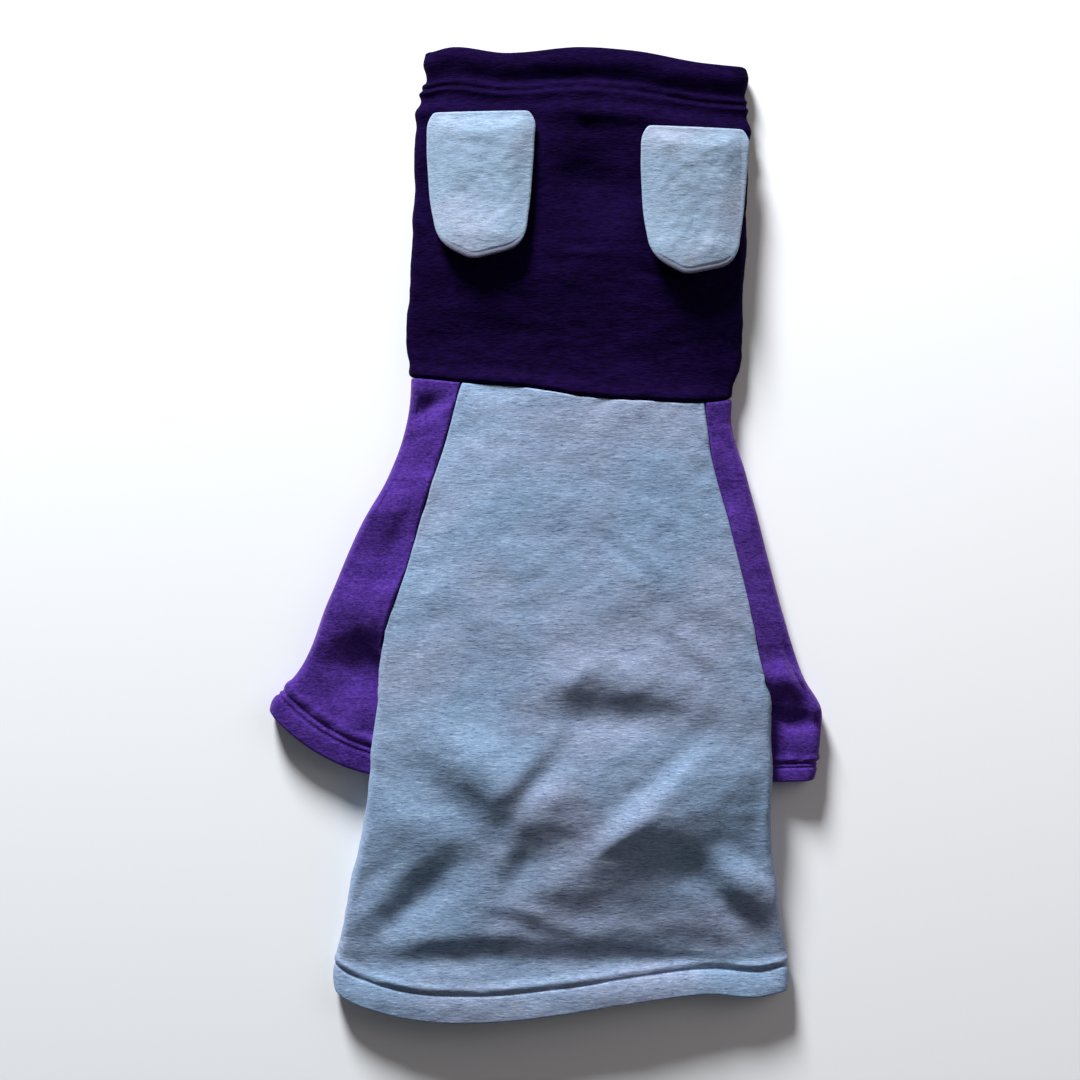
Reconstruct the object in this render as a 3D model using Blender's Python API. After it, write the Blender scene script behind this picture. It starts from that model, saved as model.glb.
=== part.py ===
"""A dog's pull-on hoodie laid flat on its belly, with its back up.

It has a marl sweatshirt body, a fleece hood with two sweatshirt ears, and fleece raglan sleeves.
X runs across the back, Y runs from the hem to the hood, Z is up and the surface it lies on is Z = 0.
"""

import math

import bmesh
import bpy
import numpy as np
from mathutils import Vector

# Sizes in metres
BACK_LENGTH = 0.440
YOKE_WIDTH = 0.174
CHEST_WIDTH = 0.280
HEM_WIDTH = 0.326
HEM_DEPTH = 0.019
NECK_WIDTH = 0.230
HOOD_WIDTH = 0.238
HOOD_LENGTH = 0.239
CASING_DEPTH = 0.028
LEFT_SLEEVE_REACH = 0.260
RIGHT_SLEEVE_REACH = 0.279
CUFF_WIDTH = 0.106
CUFF_HEM_DEPTH = 0.018
EAR_LENGTH = 0.105
EAR_WIDTH = 0.077
EAR_THICKNESS = 0.0075

# Heights of the lying cloth
BODY_HEIGHT = 0.036
SIDE_HEIGHT = 0.0255
NECK_HEIGHT = 0.029
NECK_SIDE_HEIGHT = 0.020
HOOD_HEIGHT = 0.029
HOOD_SIDE_HEIGHT = 0.017
SLEEVE_HEIGHT = 0.016
TUCKED_HEIGHT = 0.0138
FOLD_DEPTH = 0.006

# Cloth and seams
SWEATSHIRT_WALL = 0.0016
FLEECE_WALL = 0.0020
HEM_LAYERS = 2
SEAM_GAP = 0.0003
EAR_EDGE = 0.0026
EAR_TIP_LIFT = 0.008
EAR_GAP = 0.0005

# How far the panels wrap or tuck under, and where they drift to as they lie
SIDE_WRAP = 0.025
LEFT_UNDERARM_TUCK = 0.0145
RIGHT_UNDERARM_TUCK = 0.0105
YOKE_DRIFT = 0.008
CHEST_DRIFT = 0.002
HEM_DRIFT = -0.008
LIFT_MARGIN = 0.016
LIFT_SLOPE = 0.022
BESIDE_BODY = 0.020
LEFT_CUFF_BOW = 0.011
RIGHT_CUFF_BOW = 0.002

# Angles in degrees, turned outwards from the hem's direction and inwards from the cuff's outer corner
LEFT_SLEEVE_ANGLE = 23.0
RIGHT_SLEEVE_ANGLE = 12.1
LEFT_CUFF_ANGLE = -26.6
RIGHT_CUFF_ANGLE = 1.0

# Shares of the back's length
CHEST_SHARE = 0.509
LEFT_KINK = 0.394
LEFT_UNDERARM = 0.509
RIGHT_KINK = 0.459
RIGHT_UNDERARM = 0.544
FIRST_LAP = 0.28

# Share of the outer fold that lies level with the underarm
LEFT_FOLD_AT_UNDERARM = 0.773
RIGHT_FOLD_AT_UNDERARM = 0.86

# Share of the curl at which the back's edge has turned right under, and shares of the back's
# length over which the belly lifts before the underarm and the sleeve leaves the neck's curve
TURNED_UNDER = 0.8
UNDERARM_RAMP = 0.02
NECK_BLEND = 0.06

# Shares of the hood's length over which it leaves the neck's width and height
WIDTH_SETTLES = 0.10
HEIGHT_SETTLES = 0.25

# The factor that makes a fall's highest point half its drop
FALL_PEAK = math.sqrt(2 * math.e)

# How square the crowns are, and how close to an edge the dents reach
BACK_CROWN = 2.4
HOOD_CROWN = 2.6
DENT_REACH = 12
SLEEVE_DENT_REACH = 6

LEFT, RIGHT = -1, 1

# Neck seam: across in shares of half the neck's width, along in shares of that width
NECK_LINE = (
    # across, along
    (-1.00, 0.041),
    (-0.67, 0.025),
    (-0.29, 0.009),
    (0.12, -0.022),
    (0.44, -0.031),
    (0.83, -0.036),
    (1.00, -0.026),
)

# Hem edge: across in shares of half the hem's width, along in shares of that width
HEM_LINE = (
    # across, along
    (-1.00, 0.037),
    (-0.93, 0.013),
    (-0.84, -0.004),
    (-0.66, -0.026),
    (-0.44, -0.033),
    (0.00, -0.015),
    (0.35, 0.013),
    (0.66, 0.029),
    (0.88, 0.022),
    (1.00, 0.036),
)

# Edge of the back from the yoke (0) out to the chest (1)
RAGLAN_LINE = (
    # along, left, right
    (0.000, 0.00, 0.00),
    (0.100, 0.21, 0.12),
    (0.200, 0.45, 0.36),
    (0.300, 0.67, 0.59),
    (0.394, 0.91, 0.77),
    (0.450, 0.99, 0.87),
    (0.509, 1.00, 1.00),
)

# Edge of the back from the chest (0) out to the hem (1)
SIDE_LINE = (
    # along, left, right
    (0.509, 0.00, 0.00),
    (0.560, 0.09, 0.02),
    (0.620, 0.15, 0.06),
    (0.700, 0.30, -0.02),
    (0.800, 0.59, 0.28),
    (0.900, 0.83, 0.72),
    (0.960, 1.00, 1.00),
    (1.000, 0.97, 0.95),
)

# Height of the back in shares of the body's and the side fold's heights
BODY_SECTIONS = (
    # along, crown, side
    (0.00, 0.00, 0.00),
    (0.12, 0.45, 0.40),
    (0.30, 0.85, 0.90),
    (0.42, 1.00, 1.00),
    (0.62, 1.00, 1.00),
    (0.78, 0.60, 0.30),
    (0.92, -0.30, -0.90),
    (1.00, -0.80, -1.30),
)

# Hood: edges in shares of its width, heights in shares between the neck's (0) and the hood's (1)
HOOD_SECTIONS = (
    # along, left, right, height
    (0.00, -0.486, 0.488, 0.0),
    (0.10, -0.498, 0.508, 0.6),
    (0.30, -0.487, 0.517, 1.0),
    (0.55, -0.475, 0.528, 1.0),
    (0.80, -0.465, 0.532, 1.0),
    (0.87, -0.456, 0.530, 0.95),
    (0.92, -0.441, 0.524, 0.9),
    (1.00, -0.438, 0.520, 0.85),
)

# Hood's top edge: across in shares of half its width, along in shares of that width
HOOD_TOP_LINE = (
    # across, along
    (-0.96, 0.015),
    (-0.88, 0.024),
    (-0.50, 0.006),
    (0.00, 0.022),
    (0.30, 0.012),
    (0.70, -0.020),
    (1.00, -0.031),
)

# Sleeve's outer fold: along in shares of its reach, out in shares of that reach
LEFT_FOLD_LINE = (
    # along, out
    (0.00, 0.000),
    (0.05, -0.019),
    (0.16, -0.044),
    (0.28, -0.047),
    (0.41, -0.032),
    (0.65, -0.029),
    (0.88, -0.025),
    (0.93, -0.008),
    (0.97, 0.003),
    (1.00, 0.000),
)
RIGHT_FOLD_LINE = (
    # along, out
    (0.00, 0.000),
    (0.05, -0.013),
    (0.20, -0.005),
    (0.42, 0.005),
    (0.63, 0.017),
    (0.74, 0.031),
    (0.83, 0.057),
    (0.88, 0.045),
    (0.95, 0.021),
    (1.00, 0.000),
)

# Places where the back falls away from a higher side to a lower one: places and sizes in shares
# of the back's length and of the hem's width, turn in degrees from X, drop in shares of the
# body's height. A fall whose drop is below 0 rises towards the hem.
BACK_FALLS = (
    # along, across, length, width, turn, drop
    (0.504, 0.118, 0.140, 0.062, -3, 0.17),
    (0.485, 0.020, 0.075, 0.055, 50, 0.12),
    (0.622, -0.087, 0.100, 0.035, 47, 0.15),
    (0.652, -0.225, 0.130, 0.078, -35, 0.25),
    (0.740, 0.200, 0.170, 0.085, 22, 0.26),
    (0.840, 0.240, 0.190, 0.075, -6, 0.16),
    (0.815, 0.355, 0.120, 0.042, -43, 0.20),
    (0.825, -0.380, 0.130, 0.045, 43, 0.20),
    (0.900, 0.060, 0.390, 0.050, 0, 0.19),
    (0.750, 0.000, 0.508, 0.166, 0, 0.20),
    (0.730, -0.310, 0.150, 0.090, 0, 0.10),
    (0.651, 0.173, 0.155, 0.035, 42, -0.09),
)

# Dents and ridges of the sleeves: places and sizes in shares of the fold line and of the
# way from the seam to the fold, height in shares of the sleeve's height
LEFT_SLEEVE_FOLDS = (
    # along, across, length, width, height
    (0.06, 0.65, 0.045, 0.45, -0.22),
    (0.13, 0.45, 0.045, 0.45, 0.14),
    (0.45, 0.28, 0.12, 0.25, -0.28),
    (0.62, 0.25, 0.07, 0.25, 0.16),
    (0.77, 0.50, 0.05, 0.35, -0.26),
)
RIGHT_SLEEVE_FOLDS = (
    # along, across, length, width, height
    (0.40, 0.20, 0.25, 0.25, -0.16),
    (0.72, 0.75, 0.06, 0.35, 0.26),
    (0.83, 0.80, 0.035, 0.45, -0.36),
)

# Dents and ridges of the hood: places and sizes in shares of its length and width
HOOD_FOLDS = (
    # along, across, length, width, turn, height
    (0.850, 0.06, 0.160, 0.040, 0, 0.10),
    (0.640, 0.05, 0.150, 0.075, -70, -0.17),
    (0.905, 0.04, 0.450, 0.030, -3, -0.10),
)

# Ear's outline: along in shares of its length, how far out each side lies in shares of its width
EAR_OUTLINE = (
    # along, left, right
    (0.00, 0.440, 0.445),
    (0.05, 0.480, 0.490),
    (0.20, 0.500, 0.495),
    (0.40, 0.490, 0.480),
    (0.70, 0.445, 0.440),
    (0.85, 0.385, 0.400),
    (0.90, 0.335, 0.360),
    (0.94, 0.265, 0.290),
    (1.00, 0.100, -0.020),
)

# Ears' top middles: along in shares of the hood's length, across in shares of its width
EAR_PLACES = (
    # name, along, across, turn
    ("ear_left", 0.826, -0.272, 0.0),
    ("ear_right", 0.780, 0.368, -1.0),
)

# Rows along the body, in shares of the back's length
BODY_ROWS = (
    0.0,
    0.06,
    0.12,
    0.18,
    0.24,
    0.30,
    0.35,
    LEFT_KINK,
    0.427,
    RIGHT_KINK,
    0.485,
    LEFT_UNDERARM,
    RIGHT_UNDERARM,
    0.58,
    0.62,
    0.66,
    0.70,
    0.74,
    0.78,
    0.82,
    0.86,
    0.895,
    0.925,
    1 - 1.1 * HEM_DEPTH / BACK_LENGTH,
    1 - HEM_DEPTH / BACK_LENGTH,
    1 - 0.5 * HEM_DEPTH / BACK_LENGTH,
    1.0,
)
HOOD_ROWS = (
    0.0,
    0.07,
    0.16,
    0.26,
    0.36,
    0.46,
    0.56,
    0.64,
    0.72,
    0.79,
    0.84,
    1 - 1.1 * CASING_DEPTH / HOOD_LENGTH,
    1 - CASING_DEPTH / HOOD_LENGTH,
    0.94,
    1.0,
)

# Rows of a sleeve below the underarm, in shares of the way to the cuff's hem, then of that hem
TUBE_ROWS = (0.2, 0.4, 0.6, 0.8, 0.93, 1.0)
CUFF_ROWS = (0.5, 1.0)

# Shares that the finer rows near a seam take: of the back's half and of the sleeve's width,
# at the neck and at the kink or the underarm
BACK_EDGE_AT_NECK = 0.35
BACK_EDGE_AT_KINK = 0.04
SLEEVE_EDGE_AT_NECK = 0.25
SLEEVE_EDGE_AT_UNDERARM = 0.12

# Steps across the cloth, and points that a curve is worked out at before it is cut into steps
CURVE_SAMPLES = 40
BEND_SAMPLES = 24
END_SAMPLES = 12
TOP_STEPS = 9
BEND_STEPS = 4
WRAP_STEPS = 2
BELLY_STEPS = 18
SLEEVE_STEPS = 6
INNER_BEND_STEPS = 2
HOOD_STEPS = 7
EAR_ROWS = 10
EAR_STEPS = 10

CLOTH_ROUGHNESS = 0.95
SWEATSHIRT_COLOUR = (0.26, 0.31, 0.42)
EAR_COLOUR = (0.34, 0.40, 0.51)
SLEEVE_COLOUR = (0.045, 0.018, 0.155)
HOOD_COLOUR = (0.010, 0.004, 0.028)


def mix(first, second, share):
    return first + (second - first) * share


def ease(share):
    """A smooth step from 0 to 1."""
    held = np.clip(share, 0.0, 1.0)
    return held * held * (3 - 2 * held)


def read_curve(table, column, share):
    """The smooth curve through one column of a table, at a share of its first column."""
    shares = np.array([row[0] for row in table])
    values = np.array([row[column] for row in table])
    slopes = np.gradient(values, shares)
    held = np.clip(share, shares[0], shares[-1])
    after = np.clip(np.searchsorted(shares, held, side="right"), 1, len(shares) - 1)
    before = after - 1
    span = shares[after] - shares[before]
    t = (held - shares[before]) / span
    return (
        (1 + 2 * t) * (1 - t) ** 2 * values[before]
        + t * (1 - t) ** 2 * span * slopes[before]
        + t * t * (3 - 2 * t) * values[after]
        + t * t * (t - 1) * span * slopes[after]
    )


def fold_height(folds, along, across):
    """The dents and ridges of one table, at a place in metres from its own corner."""
    height = np.zeros(np.broadcast(along, across).shape)
    for fold_along, fold_across, length, width, turn, share in folds:
        angle = math.radians(turn)
        step_y = along - fold_along
        step_x = across - fold_across
        lengthwise = (step_x * math.cos(angle) + step_y * math.sin(angle)) / length
        crosswise = (step_y * math.cos(angle) - step_x * math.sin(angle)) / width
        height = height + share * np.exp(-(lengthwise**2) - crosswise**2)
    return height


def fall_height(falls, along, across):
    """Height of the falls of one table: half the drop above and half of it below."""
    height = np.zeros(np.broadcast(along, across).shape)
    for fall_along, fall_across, length, width, turn, drop in falls:
        angle = math.radians(turn)
        step_y = along - fall_along
        step_x = across - fall_across
        lengthwise = (step_x * math.cos(angle) + step_y * math.sin(angle)) / length
        crosswise = (step_y * math.cos(angle) - step_x * math.sin(angle)) / width
        fallen = FALL_PEAK * crosswise * np.exp(-(lengthwise**2) - crosswise**2)
        height = height + drop / 2 * fallen
    return height


def back_folds(x, y):
    """Height of the back's falls."""
    scaled = [
        (-a * BACK_LENGTH, c * HEM_WIDTH, n * HEM_WIDTH, w * HEM_WIDTH, turn, d * BODY_HEIGHT)
        for a, c, n, w, turn, d in BACK_FALLS
    ]
    return fall_height(scaled, y, x)


def hood_folds(x, y):
    """Height of the hood's dents and ridges."""
    scaled = [
        (a * HOOD_LENGTH, c * HOOD_WIDTH, n * HOOD_WIDTH, w * HOOD_WIDTH, turn, h * HOOD_HEIGHT)
        for a, c, n, w, turn, h in HOOD_FOLDS
    ]
    return fold_height(scaled, y, x)


def neck_line(x):
    """Y of the neck seam."""
    return NECK_WIDTH * read_curve(NECK_LINE, 1, x / (NECK_WIDTH / 2))


def hem_line(x):
    """Y of the hem's edge."""
    across = (x - HEM_DRIFT) / (HEM_WIDTH / 2)
    return HEM_WIDTH * read_curve(HEM_LINE, 1, across) - BACK_LENGTH


def body_y(x, share):
    """Y of the body's cloth at a share of the way from the neck seam to the hem."""
    return mix(neck_line(x), hem_line(x), share)


def edge_x(side, share):
    """X of the back's side as seen from above: its raglan seam, then its side fold."""
    column = 1 if side == LEFT else 2
    yoke = YOKE_DRIFT + side * YOKE_WIDTH / 2
    chest = CHEST_DRIFT + side * CHEST_WIDTH / 2
    hem = HEM_DRIFT + side * HEM_WIDTH / 2
    if share < CHEST_SHARE:
        return mix(yoke, chest, read_curve(RAGLAN_LINE, column, share))
    return mix(chest, hem, read_curve(SIDE_LINE, column, share))


def back_height(x, share):
    """Z of the back's outer face."""
    left = edge_x(LEFT, share)
    right = edge_x(RIGHT, share)
    across = np.clip((2 * x - left - right) / (right - left), -1.0, 1.0)
    crown = mix(NECK_HEIGHT, BODY_HEIGHT, read_curve(BODY_SECTIONS, 1, share))
    side = mix(NECK_SIDE_HEIGHT, SIDE_HEIGHT, read_curve(BODY_SECTIONS, 2, share))
    dents = back_folds(x, body_y(x, share)) * (1 - across**DENT_REACH)
    return side + (crown - side) * (1 - np.abs(across) ** BACK_CROWN) + dents


class Sleeve:
    """Where one raglan sleeve lies, seen from above."""

    def __init__(self, side):
        left = side == LEFT
        self.side = side
        self.kink = LEFT_KINK if left else RIGHT_KINK
        self.underarm = LEFT_UNDERARM if left else RIGHT_UNDERARM
        self.reach = LEFT_SLEEVE_REACH if left else RIGHT_SLEEVE_REACH
        self.tuck = LEFT_UNDERARM_TUCK if left else RIGHT_UNDERARM_TUCK
        self.fold_line = LEFT_FOLD_LINE if left else RIGHT_FOLD_LINE
        self.fold_at_underarm = LEFT_FOLD_AT_UNDERARM if left else RIGHT_FOLD_AT_UNDERARM
        self.folds = LEFT_SLEEVE_FOLDS if left else RIGHT_SLEEVE_FOLDS
        self.bow = LEFT_CUFF_BOW if left else RIGHT_CUFF_BOW
        angle = math.radians(LEFT_SLEEVE_ANGLE if left else RIGHT_SLEEVE_ANGLE)
        self.down = np.array([side * math.sin(angle), -math.cos(angle)])
        self.out = np.array([side * math.cos(angle), math.sin(angle)])
        cuff_angle = math.radians(LEFT_CUFF_ANGLE if left else RIGHT_CUFF_ANGLE)
        inwards = np.array([-side * math.cos(cuff_angle), math.sin(cuff_angle)])
        corner_x = side * NECK_WIDTH / 2
        self.corner = np.array([corner_x, neck_line(corner_x)])
        underarm_x = edge_x(side, self.underarm) - side * self.tuck
        self.inner_top = np.array([underarm_x, body_y(underarm_x, self.underarm)])
        self.inner_end = self.fold_point(1.0) + CUFF_WIDTH * inwards
        outer_length = self.reach * (1 - self.fold_at_underarm)
        inner_length = np.hypot(*(self.inner_end - self.inner_top))
        self.tube_length = (outer_length + inner_length) / 2
        self.hem_from = 1 - CUFF_HEM_DEPTH / self.tube_length

    def fold_point(self, along):
        """The outer fold at a share of the way from the neck to the cuff."""
        out = read_curve(self.fold_line, 1, along)
        return self.corner + self.reach * (along * self.down + out * self.out)

    def body_side(self, y):
        """How far out the body's side lies at this Y."""
        shares = np.clip(-y / BACK_LENGTH, 0.0, 1.0)
        return np.array([self.side * edge_x(self.side, share) for share in shares])

    def curl(self, share):
        """How far the back's edge has curled under, from the kink (0) to the underarm (1)."""
        return np.clip((share - self.kink) / (self.underarm - self.kink), 0.0, 1.0)

    def turn(self, share):
        """The share of a half turn that the back's edge has made."""
        return min(1.0, self.curl(share) / TURNED_UNDER)

    def wrap(self, share):
        """How far in from the back's fold its edge has been turned to."""
        if share >= self.underarm:
            return SIDE_WRAP
        tucked = (self.curl(share) - TURNED_UNDER) / (1 - TURNED_UNDER)
        return mix(FOLD_DEPTH, self.tuck, tucked)

    def neck_bulge(self, x):
        """How far the neck seam lies beyond a straight line across the sleeve's end."""
        inner_x = edge_x(self.side, 0)
        out = [self.side * inner_x, self.side * self.corner[0]]
        return neck_line(x) - np.interp(self.side * x, out, [neck_line(inner_x), self.corner[1]])

    def lift(self, x, y):
        """How far the body is lifted by the sleeve that lies under it, from 0 to 1."""
        corners = [
            self.inner_top,
            self.inner_end,
            self.fold_point(1.0),
            self.fold_point(self.fold_at_underarm),
        ]
        beyond = np.full(np.broadcast(x, y).shape, -1.0)
        for start, end in zip(corners, corners[1:] + corners[:1]):
            edge = (end - start) / np.hypot(*(end - start))
            distance = self.side * ((x - start[0]) * -edge[1] + (y - start[1]) * edge[0])
            beyond = np.maximum(beyond, -distance)
        return ease(1 - (beyond - LIFT_MARGIN) / LIFT_SLOPE)


SLEEVES = {side: Sleeve(side) for side in (LEFT, RIGHT)}


def under_height(x, share):
    """Z of the outer face of the body's underside."""
    y = body_y(x, share)
    lift = 0.0
    for sleeve in SLEEVES.values():
        beside = ease((share - sleeve.underarm) / UNDERARM_RAMP + 1)
        lift = np.maximum(lift, beside * sleeve.lift(x, y))
    return lift * (TUCKED_HEIGHT + SEAM_GAP)


def bend(start, top, bottom, side, turn=1.0):
    """A half-ellipse that turns the cloth under at a fold, as x and z; turn is its share."""
    angle = np.linspace(0, math.pi * turn, BEND_SAMPLES)
    x = start + side * FOLD_DEPTH * np.sin(angle)
    z = (top + bottom) / 2 + (top - bottom) / 2 * np.cos(angle)
    return np.stack([x, z], axis=1)


def points_at(path, shares):
    """Points of a path at shares of its length."""
    lengths = np.linalg.norm(np.diff(path, axis=0), axis=1)
    along = np.concatenate([[0.0], np.cumsum(lengths)])
    return np.stack([np.interp(shares * along[-1], along, column) for column in path.T], axis=1)


def split(path, steps):
    """The path cut into steps of equal length."""
    return points_at(path, np.linspace(0, 1, steps + 1))


def joined(*paths):
    """Paths end to end, without their doubled points."""
    return np.concatenate([paths[0]] + [path[1:] for path in paths[1:]])


def back_half(sleeve, share):
    """The back's outer face from its middle line to one edge, as x and z."""
    side = sleeve.side
    middle = (edge_x(LEFT, share) + edge_x(RIGHT, share)) / 2
    edge = edge_x(side, share)
    turn = sleeve.turn(share)
    if turn == 0:
        end = edge - side * SEAM_GAP / 2
        near_edge = mix(BACK_EDGE_AT_NECK, BACK_EDGE_AT_KINK, share / sleeve.kink)
        start = mix(end, middle, near_edge)
    else:
        start = edge - side * FOLD_DEPTH * math.sin(math.pi / 2 * min(1.0, 2 * turn))
    x = np.linspace(middle, start, CURVE_SAMPLES)
    top = split(np.stack([x, back_height(x, share)], axis=1), TOP_STEPS)
    if turn == 0:
        x = np.linspace(start, end, END_SAMPLES)
        rest = np.stack([x, back_height(x, share)], axis=1)
        return joined(top, split(rest, BEND_STEPS + WRAP_STEPS))
    if turn < 1:
        curled = bend(start, top[-1, 1], TUCKED_HEIGHT + SEAM_GAP, side, turn)
        return joined(top, split(curled, BEND_STEPS + WRAP_STEPS))
    x = np.linspace(start, edge - side * (sleeve.wrap(share) - SEAM_GAP / 2), END_SAMPLES)
    low = under_height(x, max(share, sleeve.underarm))
    under = split(np.stack([x, low], axis=1), WRAP_STEPS)
    return joined(top, split(bend(start, top[-1, 1], under[0, 1], side), BEND_STEPS), under)


def back_edge(sleeve, share):
    """Where the back meets the sleeve's upper edge, as x and z."""
    x, z = back_half(sleeve, share)[-1]
    turn = sleeve.turn(share)
    if turn == 0:
        return x + sleeve.side * SEAM_GAP, z
    lapped = min(1.0, sleeve.curl(share) / FIRST_LAP)
    drop = max(0.0, SWEATSHIRT_WALL * math.cos(math.pi * turn)) + SEAM_GAP
    inwards = max(0.0, sleeve.curl(share) - FIRST_LAP) / (1 - FIRST_LAP)
    return mix(x + sleeve.side * SEAM_GAP, sleeve.inner_top[0], inwards), z - lapped * drop


def belly_edge(sleeve, share):
    """X of the belly panel's edge, at its raglan seam and then at the side seam."""
    if share >= sleeve.underarm:
        return edge_x(sleeve.side, share) - sleeve.side * (SIDE_WRAP + SEAM_GAP / 2)
    kink_x = edge_x(sleeve.side, min(share, sleeve.kink))
    x = mix(kink_x, sleeve.inner_top[0], sleeve.curl(share))
    return x - sleeve.side * SEAM_GAP / 2


def sleeve_folds(sleeve, along, across):
    """Height of a sleeve's dents and ridges."""
    folds = [(a, c, w, n, 0, h * SLEEVE_HEIGHT) for a, c, n, w, h in sleeve.folds]
    return fold_height(folds, along, across)


def sleeve_row(sleeve, share, down):
    """One row of the sleeve's outer face, from its back edge over the fold to its belly edge.

    share runs along the raglan seams, and down runs from the underarm to the cuff.
    """
    tube = share >= sleeve.underarm
    along = mix(sleeve.fold_at_underarm * share / sleeve.underarm, 1.0, down)
    outer = sleeve.fold_point(along)
    if tube:
        first = mix(sleeve.inner_top, sleeve.inner_end, down)
        last = first
        inner_height = TUCKED_HEIGHT
    else:
        x, inner_height = back_edge(sleeve, share)
        first = np.array([x, body_y(x, share)])
        x = belly_edge(sleeve, share) + sleeve.side * SEAM_GAP
        last = np.array([x, body_y(x, share)])
    out = (outer - first) / np.linalg.norm(outer - first)
    turn_at = outer - FOLD_DEPTH * out
    start = first + FOLD_DEPTH * out * tube
    end = last + FOLD_DEPTH * out * tube

    w = np.linspace(0, 1, CURVE_SAMPLES)
    x, y = mix(start[0], turn_at[0], w), mix(start[1], turn_at[1], w)
    beside_body = ease((sleeve.side * x - sleeve.body_side(y)) / BESIDE_BODY)
    rise = mix(w, beside_body, sleeve.curl(share))
    dents = sleeve_folds(sleeve, along, w) * rise * (1 - w**SLEEVE_DENT_REACH)
    top = np.column_stack([x, y, mix(inner_height, SLEEVE_HEIGHT, rise) + dents])
    floor = np.column_stack([mix(turn_at[0], end[0], w), mix(turn_at[1], end[1], w), 0 * w])
    angle = np.linspace(0, math.pi, BEND_SAMPLES)[:, None]
    height = top[-1, 2]
    fold = np.hstack([turn_at + FOLD_DEPTH * out * np.sin(angle), height / 2 * (1 + np.cos(angle))])
    if tube:
        angle = np.linspace(0, math.pi / 2, END_SAMPLES)[:, None]
        place = start - FOLD_DEPTH * out * np.cos(angle)
        raised = np.hstack([place, inner_height / 2 * (1 + np.sin(angle))])
        sunk = raised[::-1] * (1, 1, -1) + (0, 0, inner_height)
        path = joined(
            split(raised, INNER_BEND_STEPS),
            split(top, SLEEVE_STEPS),
            split(fold, BEND_STEPS),
            split(floor, SLEEVE_STEPS),
            split(sunk, INNER_BEND_STEPS),
        )
    else:
        near = mix(SLEEVE_EDGE_AT_NECK, SLEEVE_EDGE_AT_UNDERARM, sleeve.curl(share))
        seam_rows = np.linspace(0, near, INNER_BEND_STEPS, endpoint=False)
        places = np.concatenate([seam_rows, np.linspace(near, 1, SLEEVE_STEPS + 1)])
        path = joined(
            points_at(top, places),
            split(fold, BEND_STEPS),
            points_at(floor, 1 - places[::-1]),
        )
        path[:, 1] += sleeve.neck_bulge(path[:, 0]) * ease(1 - share / NECK_BLEND)
    place = np.linalg.norm(path[:, :2] - first, axis=1) / np.linalg.norm(outer - first)
    bow = sleeve.bow * 4 * place * (1 - place) * ease(down)
    path[:, :2] += bow[:, None] * sleeve.down
    return path


def outward(grid, closed_from):
    """Unit normals of a grid of points, pointing away from the inside of the garment."""
    across = np.gradient(grid, axis=1)
    along = np.gradient(grid, axis=0)
    if closed_from is not None:
        wrapped = (grid[closed_from:, 1] - grid[closed_from:, -2]) / 2
        across[closed_from:, 0] = wrapped
        across[closed_from:, -1] = wrapped
        first_step = grid[closed_from + 1, 0] - grid[closed_from, 0]
        along[closed_from, 0] = along[closed_from, -1] = first_step
    normals = np.cross(across, along)
    return normals / np.linalg.norm(normals, axis=2, keepdims=True)


def flat_across(normals):
    """The same normals without their part along the garment."""
    flat = normals * (1, 0, 1)
    return flat / np.linalg.norm(flat, axis=-1, keepdims=True)


def colour_of(name, colour, roughness):
    """A material of one plain colour."""
    material = bpy.data.materials.new(name)
    material.use_nodes = True
    shader = material.node_tree.nodes["Principled BSDF"]
    shader.inputs["Base Color"].default_value = (*colour, 1.0)
    shader.inputs["Roughness"].default_value = roughness
    shader.inputs["Metallic"].default_value = 0.0
    return material


def cloth(name, outer, inner, closed_from, colour):
    """A closed solid between two grids of points; from row closed_from on, it is a tube."""
    rows, columns = outer.shape[:2]
    mesh = bmesh.new()
    made = {}

    def point(grid, row, column):
        if closed_from is not None and row >= closed_from and column == columns - 1:
            column = 0
        key = (grid is outer, row, column)
        if key not in made:
            made[key] = mesh.verts.new(grid[row, column])
        return made[key]

    def quad(*corners):
        mesh.faces.new([point(*corner) for corner in corners])

    for row in range(rows - 1):
        for column in range(columns - 1):
            square = ((row, column), (row, column + 1), (row + 1, column + 1), (row + 1, column))
            quad(*[(outer, *place) for place in square])
            quad(*[(inner, *place) for place in reversed(square)])
        if closed_from is None or row < closed_from:
            for column in (0, columns - 1):
                start, end = (row, column), (row + 1, column)
                quad((outer, *start), (outer, *end), (inner, *end), (inner, *start))
    for column in range(columns - 1):
        for row in (0, rows - 1):
            start, end = (row, column), (row, column + 1)
            quad((outer, *start), (outer, *end), (inner, *end), (inner, *start))
    return finished(name, mesh, colour)


def finished(name, mesh, colour):
    """An object of this mesh, faces outwards and smooth, in its own colour."""
    bmesh.ops.recalc_face_normals(mesh, faces=mesh.faces)
    for face in mesh.faces:
        face.smooth = True
    data = bpy.data.meshes.new(name)
    mesh.to_mesh(data)
    mesh.free()
    data.materials.append(colour_of(name, colour, CLOTH_ROUGHNESS))
    piece = bpy.data.objects.new(name, data)
    bpy.context.scene.collection.objects.link(piece)
    return piece


def walls(rows, wall, hem_from):
    """The cloth's thickness in each row, doubled where the hem is turned in."""
    return np.array([wall * (HEM_LAYERS if row >= hem_from else 1) for row in rows])[:, None, None]


def back_grid():
    """The back's outer face."""
    grid = []
    for share in BODY_ROWS:
        left = back_half(SLEEVES[LEFT], share)
        right = back_half(SLEEVES[RIGHT], share)
        x, z = joined(left[::-1], right).T
        grid.append(np.column_stack([x, body_y(x, share), z]))
    grid = np.array(grid)
    grid[0, :, 1] -= SEAM_GAP / 2
    return grid


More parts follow.
